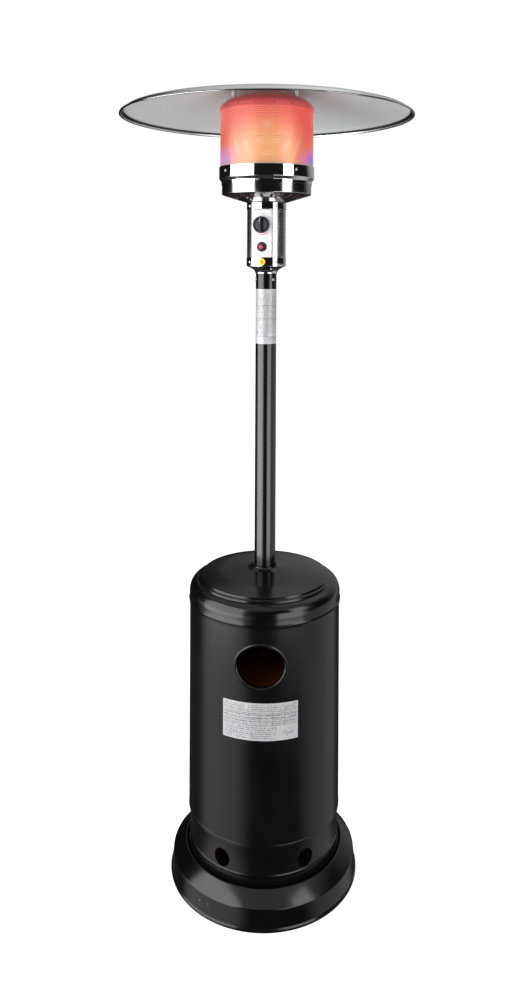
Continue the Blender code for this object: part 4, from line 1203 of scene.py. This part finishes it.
def make_emitter():
    bottom, top = low("emitter_screen"), high("emitter_screen")
    radius = reach("emitter_screen")
    add_material("hot_screen", hot_metal, "hot_screen", 1.925, 2.085, radius, 0.92)
    add_material("hot_screen", hot_cap_metal, "hot_cap")
    screen = perforated_mesh(radius, 0.0008, bottom, top, 128, 37, 0.0030, 0.56)
    piece("emitter_screen_mesh", screen, "hot_screen", ["emitter_screen"])

    outer = reach("emitter_cap")
    profile = [
        (0.0, high("emitter_cap")),
        (0.0780, 2.1175, 0.0300),
        (STUD_CIRCLE, 2.1145, 0.0200),
        (0.1140, 2.1075, 0.0160),
        (0.1250, 2.0985, 0.0120),
        (outer, 2.0915, 0.0040),
        (outer, low("emitter_cap")),
    ]
    cap = sheet_mesh(profile, THIN_SHEET)
    piece("emitter_cap_dome", cap, "hot_cap", ["emitter_cap"])
    azimuths = [9 + 22.5 * step for step in range(16)]
    rivets = ring_of(rivet_mesh(0.0021, 0.0010), azimuths, outer - 0.0001, 2.0872)
    piece("emitter_cap_rivets", rivets, "hot_rivet")


# ---------------------------------------------------------------- reflector
def make_reflector():
    outer = reach("reflector")
    lip = low("reflector")
    cone_top = REFLECTOR_CENTRE - 0.0005
    profile = [
        (0.0, REFLECTOR_CENTRE),
        (0.0600, cone_top, 0.0300),
        (0.2130, (cone_top + CONE_LOW) / 2 + 0.0015, 0.2000),
        (0.3700, CONE_LOW, 0.0040),
        (0.3745, 2.0810, 0.0020),
        (0.3880, 2.0785, 0.0080),
        (0.4020, 2.0685, 0.0030),
        (0.4060, 2.0665, 0.0016),
        (outer, lip + 0.0010, 0.0008),
        (outer - 0.0020, lip),
    ]
    dish = sheet_mesh(profile, THIN_SHEET, 224)
    piece("reflector_dish", dish, "reflector_face", ["reflector"])
    bead = oval(outer - 0.0030, lip + 0.0028, 0.0026, 0.0026, range(0, 360, 30))
    piece("reflector_rim_bead", turned_mesh(bead, 224), "reflector_face", sharp=60)

    for index, azimuth in enumerate(STUD_AZIMUTHS):
        name = f"reflector_stud_{index + 1}"
        bottom, top = low(name), high(name)
        seat = top - STUD_PROUD
        spot = Matrix.Translation(around(STUD_CIRCLE, azimuth, 0.0))
        stud = lathed([
            (0.0, top), (0.0030, top, 0.0006), (0.0030, seat - 0.0040), (0.0065, seat - 0.0040, 0.0006),
            (0.0065, SPACER_BOTTOM, 0.0006), (0.0030, SPACER_BOTTOM), (0.0030, bottom), (0.0, bottom),
        ], SMALL)
        piece(f"{name}_spacer", stud, "zinc", [name], placement=spot)
        nut_name = f"stud_nut_{index + 1}"
        nut_low, nut_top = low(nut_name), high(nut_name)
        dome = rounded([
            (0.0, top), (0.0030, top - 0.0004, 0.002), (0.0052, nut_top, 0.002), (0.0052, nut_low),
        ])
        washer = turned_mesh(tube(0.0095, 0.0033, nut_low - 0.0012, nut_low), SMALL)
        hexagon = hexagon_mesh(0.0070, nut_low, nut_top - 0.001)
        nut = gathered(hexagon, turned_mesh([*dome, (0.0, nut_low)], SMALL), washer)
        piece(f"{nut_name}_acorn", nut, "zinc", [nut_name], placement=spot)


def finish_hidden_nodes():
    """Materials for the CAD nodes that stay, all inside the head and the burner."""
    finishes = {
        "brass": ("gas_valve", "gas_jet", "valve_spindle"),
        "zinc": ("push_collar", "burner_tube", "pilot_burner"),
        "bare_steel": ("flame_drum", "thermocouple", "spark_electrode"),
        "black_plastic": ("igniter_body", "tilt_switch"),
    }
    for material, names in finishes.items():
        for name in names:
            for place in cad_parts[name].material_slots:
                place.material = MATERIALS[material]


# ---------------------------------------------------------------- camera, light and floor
def make_camera():
    focal_share = 0.8365      # focal length over the picture's long side
    camera = bpy.data.cameras.new("camera")
    camera.sensor_width = 36.0
    camera.lens = focal_share * camera.sensor_width
    camera.shift_x = -0.0038
    camera.shift_y = -0.2447
    holder = bpy.data.objects.new("camera", camera)
    level = Matrix.Rotation(pi / 2, 4, "X") @ Matrix.Rotation(radians(0.27), 4, "Z")
    holder.matrix_world = Matrix.Translation((0.0, -2.328, 1.682)) @ level
    scene.collection.objects.link(holder)
    scene.camera = holder


def softbox(name, azimuth, distance, bottom, top, width, radiance):
    """A tall rectangular lamp that faces the centre line."""
    height = top - bottom
    lamp = bpy.data.lights.new(name, "AREA")
    lamp.shape = "RECTANGLE"
    lamp.size = width
    lamp.size_y = height
    lamp.energy = radiance * pi * width * height
    holder = bpy.data.objects.new(name, lamp)
    holder.matrix_world = facing(azimuth, distance, (bottom + top) / 2)
    holder.visible_camera = False
    scene.collection.objects.link(holder)


def world_patch(tree, way, upward, aim, strength):
    """A soft bright patch of the studio low down on one side."""
    width = smooth_range(tree, aligned(tree, way, aim), 0.60, 0.84)
    low_part = smooth_range(tree, upward, -0.02, -0.10)
    return times(tree, times(tree, width, low_part), strength)


def backdrop(tree, strength):
    white = (1.0, 1.0, 1.0, 1.0)
    return node(tree, "ShaderNodeBackground", {"Color": white, "Strength": strength}).outputs[0]


def chosen(tree, share, first, second):
    return node(tree, "ShaderNodeMixShader", {0: share, 1: first, 2: second}).outputs[0]


def make_light():
    softbox("key", -62, 2.0, 0.0, 2.7, 2.5, 3.4)
    softbox("fill_low", 37, 2.1, 0.0, 1.3, 1.5, 3.0)
    softbox("fill_high", 52, 2.1, 1.3, 2.6, 0.95, 3.0)

    world = bpy.data.worlds.new("studio")
    world.use_nodes = True
    scene.world = world
    tree = world.node_tree
    tree.nodes.clear()
    way = node(tree, "ShaderNodeTexCoord").outputs["Generated"]
    upward = coordinates(tree, way)[2]
    ground = smooth_range(tree, upward, -0.15, -0.60, 0.0, 0.03)
    glow = world_patch(tree, way, upward, (-0.906, -0.423, 0.0), 0.90)
    side = world_patch(tree, way, upward, (0.996, 0.087, 0.0), 0.50)
    behind = times(tree, smooth_range(tree, aligned(tree, way, (0.45, 0.80, 0.40)), 0.70, 1.0), 0.40)
    overhead = smooth_range(tree, upward, 0.50, 0.80, 0.0, 0.55)
    mirrored = 0.01
    for part in (ground, glow, side, behind, overhead):
        mirrored = maths(tree, "ADD", part, mirrored)
    diffused = smooth_range(tree, upward, 0.05, -0.25, 0.25, 0.75)
    path = node(tree, "ShaderNodeLightPath")
    soft = backdrop(tree, diffused)
    studio = backdrop(tree, mirrored)
    white = backdrop(tree, 1.0)
    reflected = chosen(tree, path.outputs["Is Glossy Ray"], soft, studio)
    seen = chosen(tree, path.outputs["Is Camera Ray"], reflected, white)
    node(tree, "ShaderNodeOutputWorld", {"Surface": seen})
    scene.view_settings.view_transform = "Standard"


def make_floor():
    mesh = block_mesh((400.0, 400.0, 0.02))
    mesh.transform(Matrix.Translation((0, 0, -0.0102)))
    material, tree, shader, place = start_material("floor_paper", 0.9)
    tone = blend_colours(tree, noise(tree, place, 1.5, 2.0), (0.36, 0.36, 0.36), (0.34, 0.34, 0.34))
    radius = from_axis(tree, place)
    shader.inputs["Emission Color"].default_value = (1.0, 1.0, 1.0, 1.0)
    # Even white glow away from the heater, fading to none under and round the base: a painted shadow.
    glow_with_painted_shadow = smooth_range(tree, radius, 0.205, 0.275, 0.0, 1.05)
    drive(tree, shader, Base_Color=tone, Emission_Strength=glow_with_painted_shadow)
    mesh.materials.append(material)
    floor = bpy.data.objects.new("floor", mesh)
    scene.collection.objects.link(floor)
    floor.visible_glossy = False
    floor.visible_diffuse = False


make_camera()
make_hose()
make_base()
make_posts()
make_bracket()
make_pole()
make_gas_bottle()
make_housing()
make_neck()
make_control_casing()
make_controls()
make_burner()
make_emitter()
make_reflector()
finish_hidden_nodes()
make_light()
make_floor()
